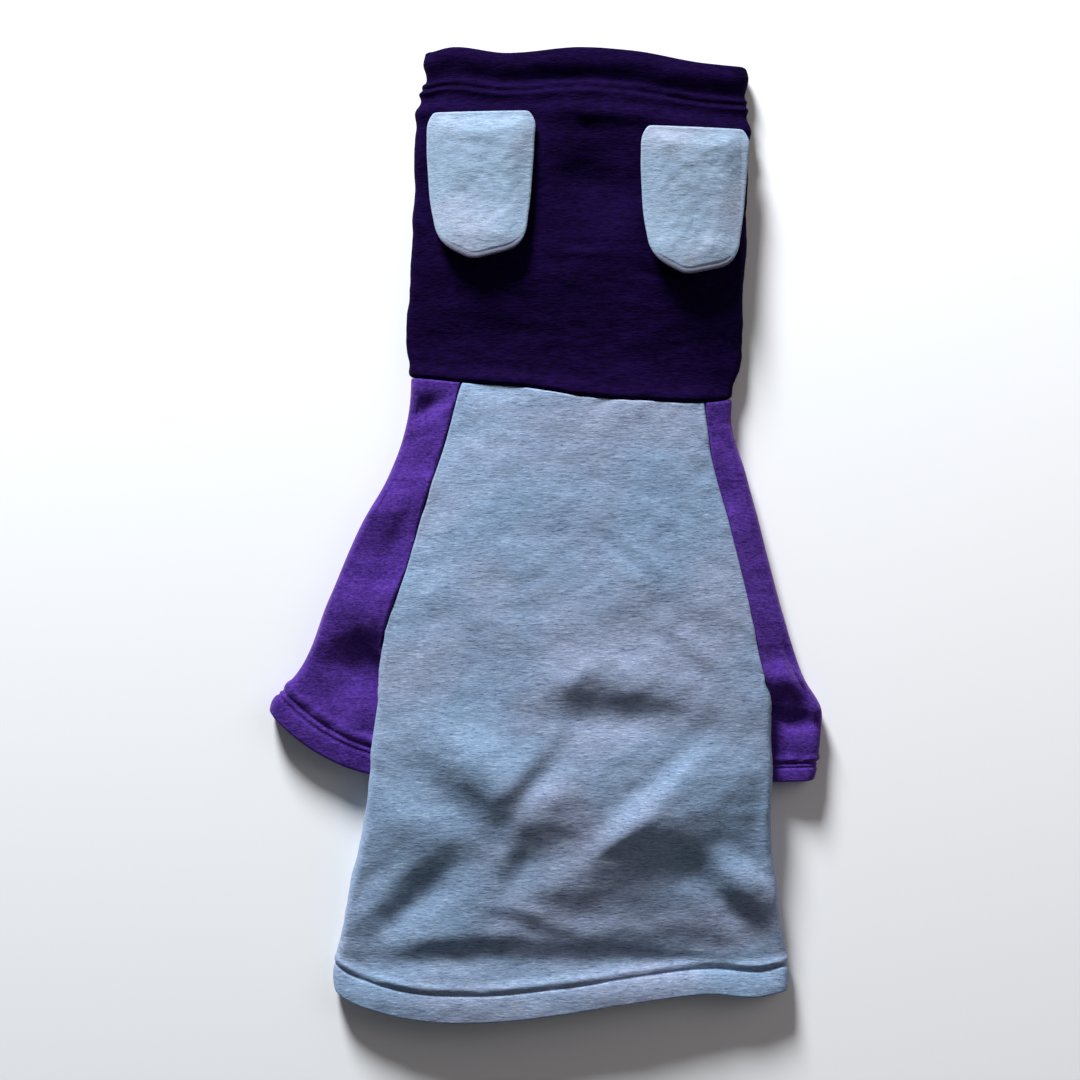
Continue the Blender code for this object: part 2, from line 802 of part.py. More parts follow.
def back_panel():
    """The sweatshirt back, which wraps round the side folds to its side seams."""
    outer = back_grid()
    normals = -outward(outer, None)
    normals[0] = flat_across(normals[0])
    for column, side in ((0, LEFT), (-1, RIGHT)):
        for row, share in enumerate(BODY_ROWS):
            if share <= SLEEVES[side].kink:
                normals[row, column] = (0, 0, 1)
            elif share >= SLEEVES[side].underarm:
                normals[row, column] = (0, 0, -1)
    hem_from = 1 - HEM_DEPTH / BACK_LENGTH
    inner = outer - normals * walls(BODY_ROWS, SWEATSHIRT_WALL, hem_from)
    return cloth("back_panel", outer, inner, None, SWEATSHIRT_COLOUR)


def belly_panel():
    """The sweatshirt panel under the belly, flat on the surface but where a sleeve lifts it."""
    outer = []
    for share in BODY_ROWS:
        ends = [belly_edge(SLEEVES[side], share) for side in (LEFT, RIGHT)]
        x = np.linspace(*ends, BELLY_STEPS + 1)
        outer.append(np.column_stack([x, body_y(x, share), under_height(x, share)]))
    outer = np.array(outer)
    outer[0, :, 1] -= SEAM_GAP / 2
    normals = outward(outer, None)
    normals[0] = flat_across(normals[0])
    normals[:, (0, -1)] = (0, 0, -1)
    hem_from = 1 - HEM_DEPTH / BACK_LENGTH
    inner = outer - normals * walls(BODY_ROWS, SWEATSHIRT_WALL, hem_from)
    return cloth("belly_panel", outer, inner, None, SWEATSHIRT_COLOUR)


def tube_rows(sleeve):
    """Rows of a sleeve below the underarm, in shares of the way to the cuff."""
    above = [sleeve.hem_from * row for row in TUBE_ROWS]
    return above + [mix(sleeve.hem_from, 1.0, row) for row in CUFF_ROWS]


def sleeve_grid(sleeve):
    """A sleeve's outer face, how far down its tube each row is, and the tube's first row."""
    shares = [share for share in BODY_ROWS if share <= sleeve.underarm]
    grid = [sleeve_row(sleeve, share, 0.0) for share in shares]
    downs = [0.0] * len(shares)
    for down in tube_rows(sleeve):
        grid.append(sleeve_row(sleeve, sleeve.underarm, down))
        downs.append(down)
    grid = np.array(grid)
    grid[0, :, 1] -= SEAM_GAP / 2
    return grid, downs, len(shares) - 1


def sleeve_piece(sleeve):
    """A raglan sleeve: one piece of fleece folded along its outer edge."""
    outer, downs, closed_from = sleeve_grid(sleeve)
    normals = outward(outer, closed_from) * -sleeve.side
    inwards = outer[closed_from:, 0] - outer[closed_from:, INNER_BEND_STEPS]
    inwards[:, 2] = 0
    inwards /= np.linalg.norm(inwards, axis=1, keepdims=True)
    normals[closed_from:, 0] = normals[closed_from:, -1] = inwards
    normals[:closed_from, 0] = (0, 0, 1)
    normals[:closed_from, -1] = (0, 0, -1)
    normals[0] = flat_across(normals[0])
    inner = outer - normals * walls(downs, FLEECE_WALL, sleeve.hem_from)
    name = "sleeve_left" if sleeve.side == LEFT else "sleeve_right"
    return cloth(name, outer, inner, closed_from, SLEEVE_COLOUR)


def neck_profile():
    """The neck's upper outline between its two folds, as x and z."""
    halves = []
    for side in (LEFT, RIGHT):
        sleeve = SLEEVES[side]
        strip = sleeve_row(sleeve, 0.0, 0.0)[: INNER_BEND_STEPS + SLEEVE_STEPS + 1, (0, 2)]
        halves.append(joined(back_half(sleeve, 0.0), strip))
    return joined(halves[0][::-1], halves[1])


NECK_PROFILE = neck_profile()


def hood_edges(share):
    """X of the hood's two folds."""
    settled = ease(share / WIDTH_SETTLES)
    return [
        mix(side * NECK_WIDTH / 2, HOOD_WIDTH * read_curve(HOOD_SECTIONS, column, share), settled)
        for side, column in ((LEFT, 1), (RIGHT, 2))
    ]


def hood_height(x, share):
    """Z of the hood's upper outer face, level beyond its folds."""
    left, right = hood_edges(share)
    across = (2 * x - left - right) / (right - left - 2 * FOLD_DEPTH)
    across = np.clip(across, -1.0, 1.0)
    neck_left, neck_right = NECK_PROFILE[0, 0], NECK_PROFILE[-1, 0]
    neck_x = mix(neck_left, neck_right, (across + 1) / 2)
    neck = np.interp(neck_x, *NECK_PROFILE.T)
    height = read_curve(HOOD_SECTIONS, 3, share)
    rise = (HOOD_HEIGHT - HOOD_SIDE_HEIGHT) * (1 - np.abs(across) ** HOOD_CROWN)
    hood = height * (HOOD_SIDE_HEIGHT + rise)
    hood = hood + hood_folds(x, share * HOOD_LENGTH) * (1 - across**DENT_REACH)
    return mix(neck, hood, ease(share / HEIGHT_SETTLES))


def hood_y(x, share):
    """Y of the hood's cloth at a share of the way from the neck seam to its top edge."""
    left, right = hood_edges(share)
    across = (2 * x - left - right) / (right - left)
    top = HOOD_LENGTH + HOOD_WIDTH * read_curve(HOOD_TOP_LINE, 1, across)
    return mix(neck_line(across * NECK_WIDTH / 2), top, share)


def hood_share(x, y):
    """The share of the way from the neck seam to the hood's top edge at a place on it."""
    share = y / HOOD_LENGTH
    for _ in range(3):
        share = share + (y - hood_y(x, share)) / HOOD_LENGTH
    return share


def hood_row(share):
    """One loop of the hood's outer face, from the middle of its top to the right and round."""
    left, right = hood_edges(share)
    middle = (left + right) / 2
    halves = []
    for side, edge in ((RIGHT, right), (LEFT, left)):
        start = edge - side * FOLD_DEPTH
        x = np.linspace(middle, start, CURVE_SAMPLES)
        top = np.stack([x, hood_height(x, share)], axis=1)
        floor = np.array([[start, 0.0], [middle, 0.0]])
        round_fold = bend(start, top[-1, 1], 0.0, side)
        halves.append(
            joined(split(top, HOOD_STEPS), split(round_fold, BEND_STEPS), split(floor, HOOD_STEPS))
        )
    x, z = joined(halves[0], halves[1][::-1]).T
    return np.column_stack([x, hood_y(x, share), z])


def hood():
    """The fleece hood: an open tube from the neck seam to the turned casing."""
    outer = np.array([hood_row(share) for share in HOOD_ROWS])
    outer[0, :, 1] += SEAM_GAP / 2
    normals = outward(outer, 0)
    normals[0] = flat_across(normals[0])
    casing_from = 1 - CASING_DEPTH / HOOD_LENGTH
    inner = outer - normals * walls(HOOD_ROWS, FLEECE_WALL, casing_from)
    return cloth("hood", outer, inner, 0, HOOD_COLOUR)


def ear(name, along, across, turn):
    """One puffy ear, sewn down at its top and lifted at its tip."""
    angle = math.radians(turn)
    top, bottom = [], []
    for row in range(EAR_ROWS + 1):
        v = row / EAR_ROWS
        left = -EAR_WIDTH * read_curve(EAR_OUTLINE, 1, v)
        right = EAR_WIDTH * read_curve(EAR_OUTLINE, 2, v)
        w = np.linspace(-1, 1, EAR_STEPS + 1)
        local_x = mix(left, right, (w + 1) / 2)
        local_y = np.full_like(w, -v * EAR_LENGTH)
        x = across * HOOD_WIDTH + local_x * math.cos(angle) - local_y * math.sin(angle)
        y = along * HOOD_LENGTH + local_x * math.sin(angle) + local_y * math.cos(angle)
        share = hood_share(x, y)
        bed = np.array([hood_height(*place) for place in zip(x, share)])
        seat = bed + EAR_GAP + EAR_TIP_LIFT * v**3
        puff = ((1 - w**4) * (1 - (2 * v - 1) ** 4)) ** 0.5
        thickness = mix(EAR_EDGE, EAR_THICKNESS, puff)
        bottom.append(np.column_stack([x, y, seat]))
        top.append(np.column_stack([x, y, seat + thickness]))
    return cloth(name, np.array(top), np.array(bottom), None, EAR_COLOUR)


def clear_scene():
    for thing in list(bpy.data.objects):
        bpy.data.objects.remove(thing, do_unlink=True)


def centre(pieces):
    """Moves the pieces so that their common box stands on the origin."""
    corners = np.array([vertex.co for piece in pieces for vertex in piece.data.vertices])
    low, high = corners.min(axis=0), corners.max(axis=0)
    middle = Vector((*(low + high)[:2] / 2, low[2]))
    for piece in pieces:
        for vertex in piece.data.vertices:
            vertex.co -= middle
    return middle


def main():
    clear_scene()
    pieces = [back_panel(), belly_panel(), hood()]
    pieces += [sleeve_piece(sleeve) for sleeve in SLEEVES.values()]
    pieces += [ear(*place) for place in EAR_PLACES]
    centre(pieces)


main()
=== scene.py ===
"""The looks of a dog's pull-on hoodie laid flat: marl sweatshirt, brushed fleece, seams and stitches."""

import math

import bpy
import numpy as np
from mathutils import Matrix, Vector, noise


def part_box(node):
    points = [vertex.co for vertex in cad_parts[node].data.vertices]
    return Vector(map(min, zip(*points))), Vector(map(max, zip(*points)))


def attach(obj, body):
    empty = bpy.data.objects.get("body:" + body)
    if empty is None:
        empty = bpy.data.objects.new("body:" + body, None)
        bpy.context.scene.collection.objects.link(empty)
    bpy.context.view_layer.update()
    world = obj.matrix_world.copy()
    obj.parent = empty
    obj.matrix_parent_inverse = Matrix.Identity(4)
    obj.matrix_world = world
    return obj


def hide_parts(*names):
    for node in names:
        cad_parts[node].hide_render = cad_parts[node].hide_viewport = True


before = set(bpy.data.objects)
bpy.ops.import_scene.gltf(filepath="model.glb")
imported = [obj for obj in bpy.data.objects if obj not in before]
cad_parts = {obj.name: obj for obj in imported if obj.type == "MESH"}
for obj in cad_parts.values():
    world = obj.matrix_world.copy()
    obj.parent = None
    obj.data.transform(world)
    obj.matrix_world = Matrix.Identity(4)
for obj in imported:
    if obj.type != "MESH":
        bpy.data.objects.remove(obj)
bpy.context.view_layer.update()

# Sizes in metres
BACK_LENGTH = 0.440
YOKE_WIDTH = 0.174
CHEST_WIDTH = 0.280
HEM_WIDTH = 0.326
HEM_DEPTH = 0.019
NECK_WIDTH = 0.230
HOOD_WIDTH = 0.238
HOOD_LENGTH = 0.239
CASING_DEPTH = 0.028
LEFT_SLEEVE_REACH = 0.260
RIGHT_SLEEVE_REACH = 0.279
CUFF_WIDTH = 0.106
CUFF_HEM_DEPTH = 0.018
EAR_LENGTH = 0.105
EAR_WIDTH = 0.077
EAR_THICKNESS = 0.0075

# Heights of the lying cloth
BODY_HEIGHT = 0.036
SIDE_HEIGHT = 0.0255
NECK_HEIGHT = 0.029
NECK_SIDE_HEIGHT = 0.020
HOOD_HEIGHT = 0.029
HOOD_SIDE_HEIGHT = 0.017
SLEEVE_HEIGHT = 0.016
TUCKED_HEIGHT = 0.0138
FOLD_DEPTH = 0.006

# Cloth and seams
SWEATSHIRT_WALL = 0.0016
FLEECE_WALL = 0.0020
HEM_LAYERS = 2
SEAM_GAP = 0.0003
EAR_EDGE = 0.0026
EAR_TIP_LIFT = 0.008
EAR_GAP = 0.0005

# How far the panels wrap or tuck under, and where they drift to as they lie
SIDE_WRAP = 0.025
LEFT_UNDERARM_TUCK = 0.0145
RIGHT_UNDERARM_TUCK = 0.0105
YOKE_DRIFT = 0.008
CHEST_DRIFT = 0.002
HEM_DRIFT = -0.008
LIFT_MARGIN = 0.016
LIFT_SLOPE = 0.022
BESIDE_BODY = 0.020
LEFT_CUFF_BOW = 0.011
RIGHT_CUFF_BOW = 0.002

# Angles in degrees, turned outwards from the hem's direction and inwards from the cuff's outer corner
LEFT_SLEEVE_ANGLE = 23.0
RIGHT_SLEEVE_ANGLE = 12.1
LEFT_CUFF_ANGLE = -26.6
RIGHT_CUFF_ANGLE = 1.0

# Shares of the back's length
CHEST_SHARE = 0.509
LEFT_KINK = 0.394
LEFT_UNDERARM = 0.509
RIGHT_KINK = 0.459
RIGHT_UNDERARM = 0.544
FIRST_LAP = 0.28

# Share of the outer fold that lies level with the underarm
LEFT_FOLD_AT_UNDERARM = 0.773
RIGHT_FOLD_AT_UNDERARM = 0.86

# Share of the curl at which the back's edge has turned right under, and shares of the back's
# length over which the belly lifts before the underarm and the sleeve leaves the neck's curve
TURNED_UNDER = 0.8
UNDERARM_RAMP = 0.02
NECK_BLEND = 0.06

# Shares of the hood's length over which it leaves the neck's width and height
WIDTH_SETTLES = 0.10
HEIGHT_SETTLES = 0.25

# The factor that makes a fall's highest point half its drop
FALL_PEAK = math.sqrt(2 * math.e)

# How square the crowns are, and how close to an edge the dents reach
BACK_CROWN = 2.4
HOOD_CROWN = 2.6
DENT_REACH = 12
SLEEVE_DENT_REACH = 6

LEFT, RIGHT = -1, 1

# Neck seam: across in shares of half the neck's width, along in shares of that width
NECK_LINE = (
    # across, along
    (-1.00, 0.041),
    (-0.67, 0.025),
    (-0.29, 0.009),
    (0.12, -0.022),
    (0.44, -0.031),
    (0.83, -0.036),
    (1.00, -0.026),
)

# Hem edge: across in shares of half the hem's width, along in shares of that width
HEM_LINE = (
    # across, along
    (-1.00, 0.037),
    (-0.93, 0.013),
    (-0.84, -0.004),
    (-0.66, -0.026),
    (-0.44, -0.033),
    (0.00, -0.015),
    (0.35, 0.013),
    (0.66, 0.029),
    (0.88, 0.022),
    (1.00, 0.036),
)

# Edge of the back from the yoke (0) out to the chest (1)
RAGLAN_LINE = (
    # along, left, right
    (0.000, 0.00, 0.00),
    (0.100, 0.21, 0.12),
    (0.200, 0.45, 0.36),
    (0.300, 0.67, 0.59),
    (0.394, 0.91, 0.77),
    (0.450, 0.99, 0.87),
    (0.509, 1.00, 1.00),
)

# Edge of the back from the chest (0) out to the hem (1)
SIDE_LINE = (
    # along, left, right
    (0.509, 0.00, 0.00),
    (0.560, 0.09, 0.02),
    (0.620, 0.15, 0.06),
    (0.700, 0.30, -0.02),
    (0.800, 0.59, 0.28),
    (0.900, 0.83, 0.72),
    (0.960, 1.00, 1.00),
    (1.000, 0.97, 0.95),
)

# Height of the back in shares of the body's and the side fold's heights
BODY_SECTIONS = (
    # along, crown, side
    (0.00, 0.00, 0.00),
    (0.12, 0.45, 0.40),
    (0.30, 0.85, 0.90),
    (0.42, 1.00, 1.00),
    (0.62, 1.00, 1.00),
    (0.78, 0.60, 0.30),
    (0.92, -0.30, -0.90),
    (1.00, -0.80, -1.30),
)

# Hood: edges in shares of its width, heights in shares between the neck's (0) and the hood's (1)
HOOD_SECTIONS = (
    # along, left, right, height
    (0.00, -0.486, 0.488, 0.0),
    (0.10, -0.498, 0.508, 0.6),
    (0.30, -0.487, 0.517, 1.0),
    (0.55, -0.475, 0.528, 1.0),
    (0.80, -0.465, 0.532, 1.0),
    (0.87, -0.456, 0.530, 0.95),
    (0.92, -0.441, 0.524, 0.9),
    (1.00, -0.438, 0.520, 0.85),
)

# Hood's top edge: across in shares of half its width, along in shares of that width
HOOD_TOP_LINE = (
    # across, along
    (-0.96, 0.015),
    (-0.88, 0.024),
    (-0.50, 0.006),
    (0.00, 0.022),
    (0.30, 0.012),
    (0.70, -0.020),
    (1.00, -0.031),
)

# Sleeve's outer fold: along in shares of its reach, out in shares of that reach
LEFT_FOLD_LINE = (
    # along, out
    (0.00, 0.000),
    (0.05, -0.019),
    (0.16, -0.044),
    (0.28, -0.047),
    (0.41, -0.032),
    (0.65, -0.029),
    (0.88, -0.025),
    (0.93, -0.008),
    (0.97, 0.003),
    (1.00, 0.000),
)
RIGHT_FOLD_LINE = (
    # along, out
    (0.00, 0.000),
    (0.05, -0.013),
    (0.20, -0.005),
    (0.42, 0.005),
    (0.63, 0.017),
    (0.74, 0.031),
    (0.83, 0.057),
    (0.88, 0.045),
    (0.95, 0.021),
    (1.00, 0.000),
)

# Places where the back falls away from a higher side to a lower one: places and sizes in shares
# of the back's length and of the hem's width, turn in degrees from X, drop in shares of the
# body's height. A fall whose drop is below 0 rises towards the hem.
BACK_FALLS = (
    # along, across, length, width, turn, drop
    (0.504, 0.118, 0.140, 0.062, -3, 0.17),
    (0.485, 0.020, 0.075, 0.055, 50, 0.12),
    (0.622, -0.087, 0.100, 0.035, 47, 0.15),
    (0.652, -0.225, 0.130, 0.078, -35, 0.25),
    (0.740, 0.200, 0.170, 0.085, 22, 0.26),
    (0.840, 0.240, 0.190, 0.075, -6, 0.16),
    (0.815, 0.355, 0.120, 0.042, -43, 0.20),
    (0.825, -0.380, 0.130, 0.045, 43, 0.20),
    (0.900, 0.060, 0.390, 0.050, 0, 0.19),
    (0.750, 0.000, 0.508, 0.166, 0, 0.20),
    (0.730, -0.310, 0.150, 0.090, 0, 0.10),
    (0.651, 0.173, 0.155, 0.035, 42, -0.09),
)

# Dents and ridges of the sleeves: places and sizes in shares of the fold line and of the
# way from the seam to the fold, height in shares of the sleeve's height
LEFT_SLEEVE_FOLDS = (
    # along, across, length, width, height
    (0.06, 0.65, 0.045, 0.45, -0.22),
    (0.13, 0.45, 0.045, 0.45, 0.14),
    (0.45, 0.28, 0.12, 0.25, -0.28),
    (0.62, 0.25, 0.07, 0.25, 0.16),
    (0.77, 0.50, 0.05, 0.35, -0.26),
)
RIGHT_SLEEVE_FOLDS = (
    # along, across, length, width, height
    (0.40, 0.20, 0.25, 0.25, -0.16),
    (0.72, 0.75, 0.06, 0.35, 0.26),
    (0.83, 0.80, 0.035, 0.45, -0.36),
)

# Dents and ridges of the hood: places and sizes in shares of its length and width
HOOD_FOLDS = (
    # along, across, length, width, turn, height
    (0.850, 0.06, 0.160, 0.040, 0, 0.10),
    (0.640, 0.05, 0.150, 0.075, -70, -0.17),
    (0.905, 0.04, 0.450, 0.030, -3, -0.10),
)

# Ear's outline: along in shares of its length, how far out each side lies in shares of its width
EAR_OUTLINE = (
    # along, left, right
    (0.00, 0.440, 0.445),
    (0.05, 0.480, 0.490),
    (0.20, 0.500, 0.495),
    (0.40, 0.490, 0.480),
    (0.70, 0.445, 0.440),
    (0.85, 0.385, 0.400),
    (0.90, 0.335, 0.360),
    (0.94, 0.265, 0.290),
    (1.00, 0.100, -0.020),
)

# Ears' top middles: along in shares of the hood's length, across in shares of its width
EAR_PLACES = (
    # name, along, across, turn
    ("ear_left", 0.826, -0.272, 0.0),
    ("ear_right", 0.780, 0.368, -1.0),
)

# Shares that the finer rows near a seam take: of the back's half and of the sleeve's width,
# at the neck and at the kink or the underarm
BACK_EDGE_AT_NECK = 0.35
BACK_EDGE_AT_KINK = 0.04
SLEEVE_EDGE_AT_NECK = 0.25
SLEEVE_EDGE_AT_UNDERARM = 0.12

# Steps across the cloth, and points that a curve is worked out at before it is cut into steps
CURVE_SAMPLES = 240
BEND_SAMPLES = 80
END_SAMPLES = 40
TOP_STEPS = 84
BEND_STEPS = 14
WRAP_STEPS = 10
BELLY_STEPS = 110
SLEEVE_STEPS = 60
INNER_BEND_STEPS = 12
HOOD_STEPS = 56


def mix(first, second, share):
    return first + (second - first) * share


def ease(share):
    """A smooth step from 0 to 1."""
    held = np.clip(share, 0.0, 1.0)
    return held * held * (3 - 2 * held)


def read_curve(table, column, share):
    """The smooth curve through one column of a table, at a share of its first column."""
    shares = np.array([row[0] for row in table])
    values = np.array([row[column] for row in table])
    slopes = np.gradient(values, shares)
    held = np.clip(share, shares[0], shares[-1])
    after = np.clip(np.searchsorted(shares, held, side="right"), 1, len(shares) - 1)
    before = after - 1
    span = shares[after] - shares[before]
    t = (held - shares[before]) / span
    return (
        (1 + 2 * t) * (1 - t) ** 2 * values[before]
        + t * (1 - t) ** 2 * span * slopes[before]
        + t * t * (3 - 2 * t) * values[after]
        + t * t * (t - 1) * span * slopes[after]
    )


def fold_height(folds, along, across):
    """The dents and ridges of one table, at a place in metres from its own corner."""
    height = np.zeros(np.broadcast(along, across).shape)
    for fold_along, fold_across, length, width, turn, share in folds:
        angle = math.radians(turn)
        step_y = along - fold_along
        step_x = across - fold_across
        lengthwise = (step_x * math.cos(angle) + step_y * math.sin(angle)) / length
        crosswise = (step_y * math.cos(angle) - step_x * math.sin(angle)) / width
        height = height + share * np.exp(-(lengthwise**2) - crosswise**2)
    return height


def fall_height(falls, along, across):
    """Height of the falls of one table: half the drop above and half of it below."""
    height = np.zeros(np.broadcast(along, across).shape)
    for fall_along, fall_across, length, width, turn, drop in falls:
        angle = math.radians(turn)
        step_y = along - fall_along
        step_x = across - fall_across
        lengthwise = (step_x * math.cos(angle) + step_y * math.sin(angle)) / length
        crosswise = (step_y * math.cos(angle) - step_x * math.sin(angle)) / width
        fallen = FALL_PEAK * crosswise * np.exp(-(lengthwise**2) - crosswise**2)
        height = height + drop / 2 * fallen
    return height


def back_folds(x, y):
    """Height of the back's falls."""
    scaled = [
        (-a * BACK_LENGTH, c * HEM_WIDTH, n * HEM_WIDTH, w * HEM_WIDTH, turn, d * BODY_HEIGHT)
        for a, c, n, w, turn, d in BACK_FALLS
    ]
    return fall_height(scaled, y, x)


def hood_folds(x, y):
    """Height of the hood's dents and ridges."""
    scaled = [
        (a * HOOD_LENGTH, c * HOOD_WIDTH, n * HOOD_WIDTH, w * HOOD_WIDTH, turn, h * HOOD_HEIGHT)
        for a, c, n, w, turn, h in HOOD_FOLDS
    ]
    return fold_height(scaled, y, x)


def neck_line(x):
    """Y of the neck seam."""
    return NECK_WIDTH * read_curve(NECK_LINE, 1, x / (NECK_WIDTH / 2))


def hem_line(x):
    """Y of the hem's edge."""
    across = (x - HEM_DRIFT) / (HEM_WIDTH / 2)
    return HEM_WIDTH * read_curve(HEM_LINE, 1, across) - BACK_LENGTH


def body_y(x, share):
    """Y of the body's cloth at a share of the way from the neck seam to the hem."""
    return mix(neck_line(x), hem_line(x), share)


def edge_x(side, share):
    """X of the back's side as seen from above: its raglan seam, then its side fold."""
    column = 1 if side == LEFT else 2
    yoke = YOKE_DRIFT + side * YOKE_WIDTH / 2
    chest = CHEST_DRIFT + side * CHEST_WIDTH / 2
    hem = HEM_DRIFT + side * HEM_WIDTH / 2
    if share < CHEST_SHARE:
        return mix(yoke, chest, read_curve(RAGLAN_LINE, column, share))
    return mix(chest, hem, read_curve(SIDE_LINE, column, share))


def back_height(x, share):
    """Z of the back's outer face."""
    left = edge_x(LEFT, share)
    right = edge_x(RIGHT, share)
    across = np.clip((2 * x - left - right) / (right - left), -1.0, 1.0)
    crown = mix(NECK_HEIGHT, BODY_HEIGHT, read_curve(BODY_SECTIONS, 1, share))
    side = mix(NECK_SIDE_HEIGHT, SIDE_HEIGHT, read_curve(BODY_SECTIONS, 2, share))
    dents = back_folds(x, body_y(x, share)) * (1 - across**DENT_REACH)
    return side + (crown - side) * (1 - np.abs(across) ** BACK_CROWN) + dents


class Sleeve:
    """Where one raglan sleeve lies, seen from above."""

    def __init__(self, side):
        left = side == LEFT
        self.side = side
        self.kink = LEFT_KINK if left else RIGHT_KINK
        self.underarm = LEFT_UNDERARM if left else RIGHT_UNDERARM
        self.reach = LEFT_SLEEVE_REACH if left else RIGHT_SLEEVE_REACH
        self.tuck = LEFT_UNDERARM_TUCK if left else RIGHT_UNDERARM_TUCK
        self.fold_line = LEFT_FOLD_LINE if left else RIGHT_FOLD_LINE
        self.fold_at_underarm = LEFT_FOLD_AT_UNDERARM if left else RIGHT_FOLD_AT_UNDERARM
        self.folds = LEFT_SLEEVE_FOLDS if left else RIGHT_SLEEVE_FOLDS
        self.bow = LEFT_CUFF_BOW if left else RIGHT_CUFF_BOW
        angle = math.radians(LEFT_SLEEVE_ANGLE if left else RIGHT_SLEEVE_ANGLE)
        self.down = np.array([side * math.sin(angle), -math.cos(angle)])
        self.out = np.array([side * math.cos(angle), math.sin(angle)])
        cuff_angle = math.radians(LEFT_CUFF_ANGLE if left else RIGHT_CUFF_ANGLE)
        inwards = np.array([-side * math.cos(cuff_angle), math.sin(cuff_angle)])
        corner_x = side * NECK_WIDTH / 2
        self.corner = np.array([corner_x, neck_line(corner_x)])
        underarm_x = edge_x(side, self.underarm) - side * self.tuck
        self.inner_top = np.array([underarm_x, body_y(underarm_x, self.underarm)])
        self.inner_end = self.fold_point(1.0) + CUFF_WIDTH * inwards
        outer_length = self.reach * (1 - self.fold_at_underarm)
        inner_length = np.hypot(*(self.inner_end - self.inner_top))
        self.tube_length = (outer_length + inner_length) / 2
        self.hem_from = 1 - CUFF_HEM_DEPTH / self.tube_length

    def fold_point(self, along):
        """The outer fold at a share of the way from the neck to the cuff."""
        out = read_curve(self.fold_line, 1, along)
        return self.corner + self.reach * (along * self.down + out * self.out)

    def body_side(self, y):
        """How far out the body's side lies at this Y."""
        shares = np.clip(-y / BACK_LENGTH, 0.0, 1.0)
        return np.array([self.side * edge_x(self.side, share) for share in shares])

    def curl(self, share):
        """How far the back's edge has curled under, from the kink (0) to the underarm (1)."""
        return np.clip((share - self.kink) / (self.underarm - self.kink), 0.0, 1.0)

    def turn(self, share):
        """The share of a half turn that the back's edge has made."""
        return min(1.0, self.curl(share) / TURNED_UNDER)

    def wrap(self, share):
        """How far in from the back's fold its edge has been turned to."""
        if share >= self.underarm:
            return SIDE_WRAP
        tucked = (self.curl(share) - TURNED_UNDER) / (1 - TURNED_UNDER)
        return mix(FOLD_DEPTH, self.tuck, tucked)

    def neck_bulge(self, x):
        """How far the neck seam lies beyond a straight line across the sleeve's end."""
        inner_x = edge_x(self.side, 0)
        out = [self.side * inner_x, self.side * self.corner[0]]
        return neck_line(x) - np.interp(self.side * x, out, [neck_line(inner_x), self.corner[1]])

    def lift(self, x, y):
        """How far the body is lifted by the sleeve that lies under it, from 0 to 1."""
        corners = [
            self.inner_top,
            self.inner_end,
            self.fold_point(1.0),
            self.fold_point(self.fold_at_underarm),
        ]
        beyond = np.full(np.broadcast(x, y).shape, -1.0)
        for start, end in zip(corners, corners[1:] + corners[:1]):
            edge = (end - start) / np.hypot(*(end - start))
            distance = self.side * ((x - start[0]) * -edge[1] + (y - start[1]) * edge[0])
            beyond = np.maximum(beyond, -distance)
        return ease(1 - (beyond - LIFT_MARGIN) / LIFT_SLOPE)


SLEEVES = {side: Sleeve(side) for side in (LEFT, RIGHT)}


def under_height(x, share):
    """Z of the outer face of the body's underside."""
    y = body_y(x, share)
    lift = 0.0
    for sleeve in SLEEVES.values():
        beside = ease((share - sleeve.underarm) / UNDERARM_RAMP + 1)
        lift = np.maximum(lift, beside * sleeve.lift(x, y))
    return lift * (TUCKED_HEIGHT + SEAM_GAP)


def bend(start, top, bottom, side, turn=1.0):
    """A half-ellipse that turns the cloth under at a fold, as x and z; turn is its share."""
    angle = np.linspace(0, math.pi * turn, BEND_SAMPLES)
    x = start + side * FOLD_DEPTH * np.sin(angle)
    z = (top + bottom) / 2 + (top - bottom) / 2 * np.cos(angle)
    return np.stack([x, z], axis=1)


def points_at(path, shares):
    """Points of a path at shares of its length."""
    lengths = np.linalg.norm(np.diff(path, axis=0), axis=1)
    along = np.concatenate([[0.0], np.cumsum(lengths)])
    return np.stack([np.interp(shares * along[-1], along, column) for column in path.T], axis=1)


def split(path, steps):
    """The path cut into steps of equal length."""
    return points_at(path, np.linspace(0, 1, steps + 1))


def joined(*paths):
    """Paths end to end, without their doubled points."""
    return np.concatenate([paths[0]] + [path[1:] for path in paths[1:]])


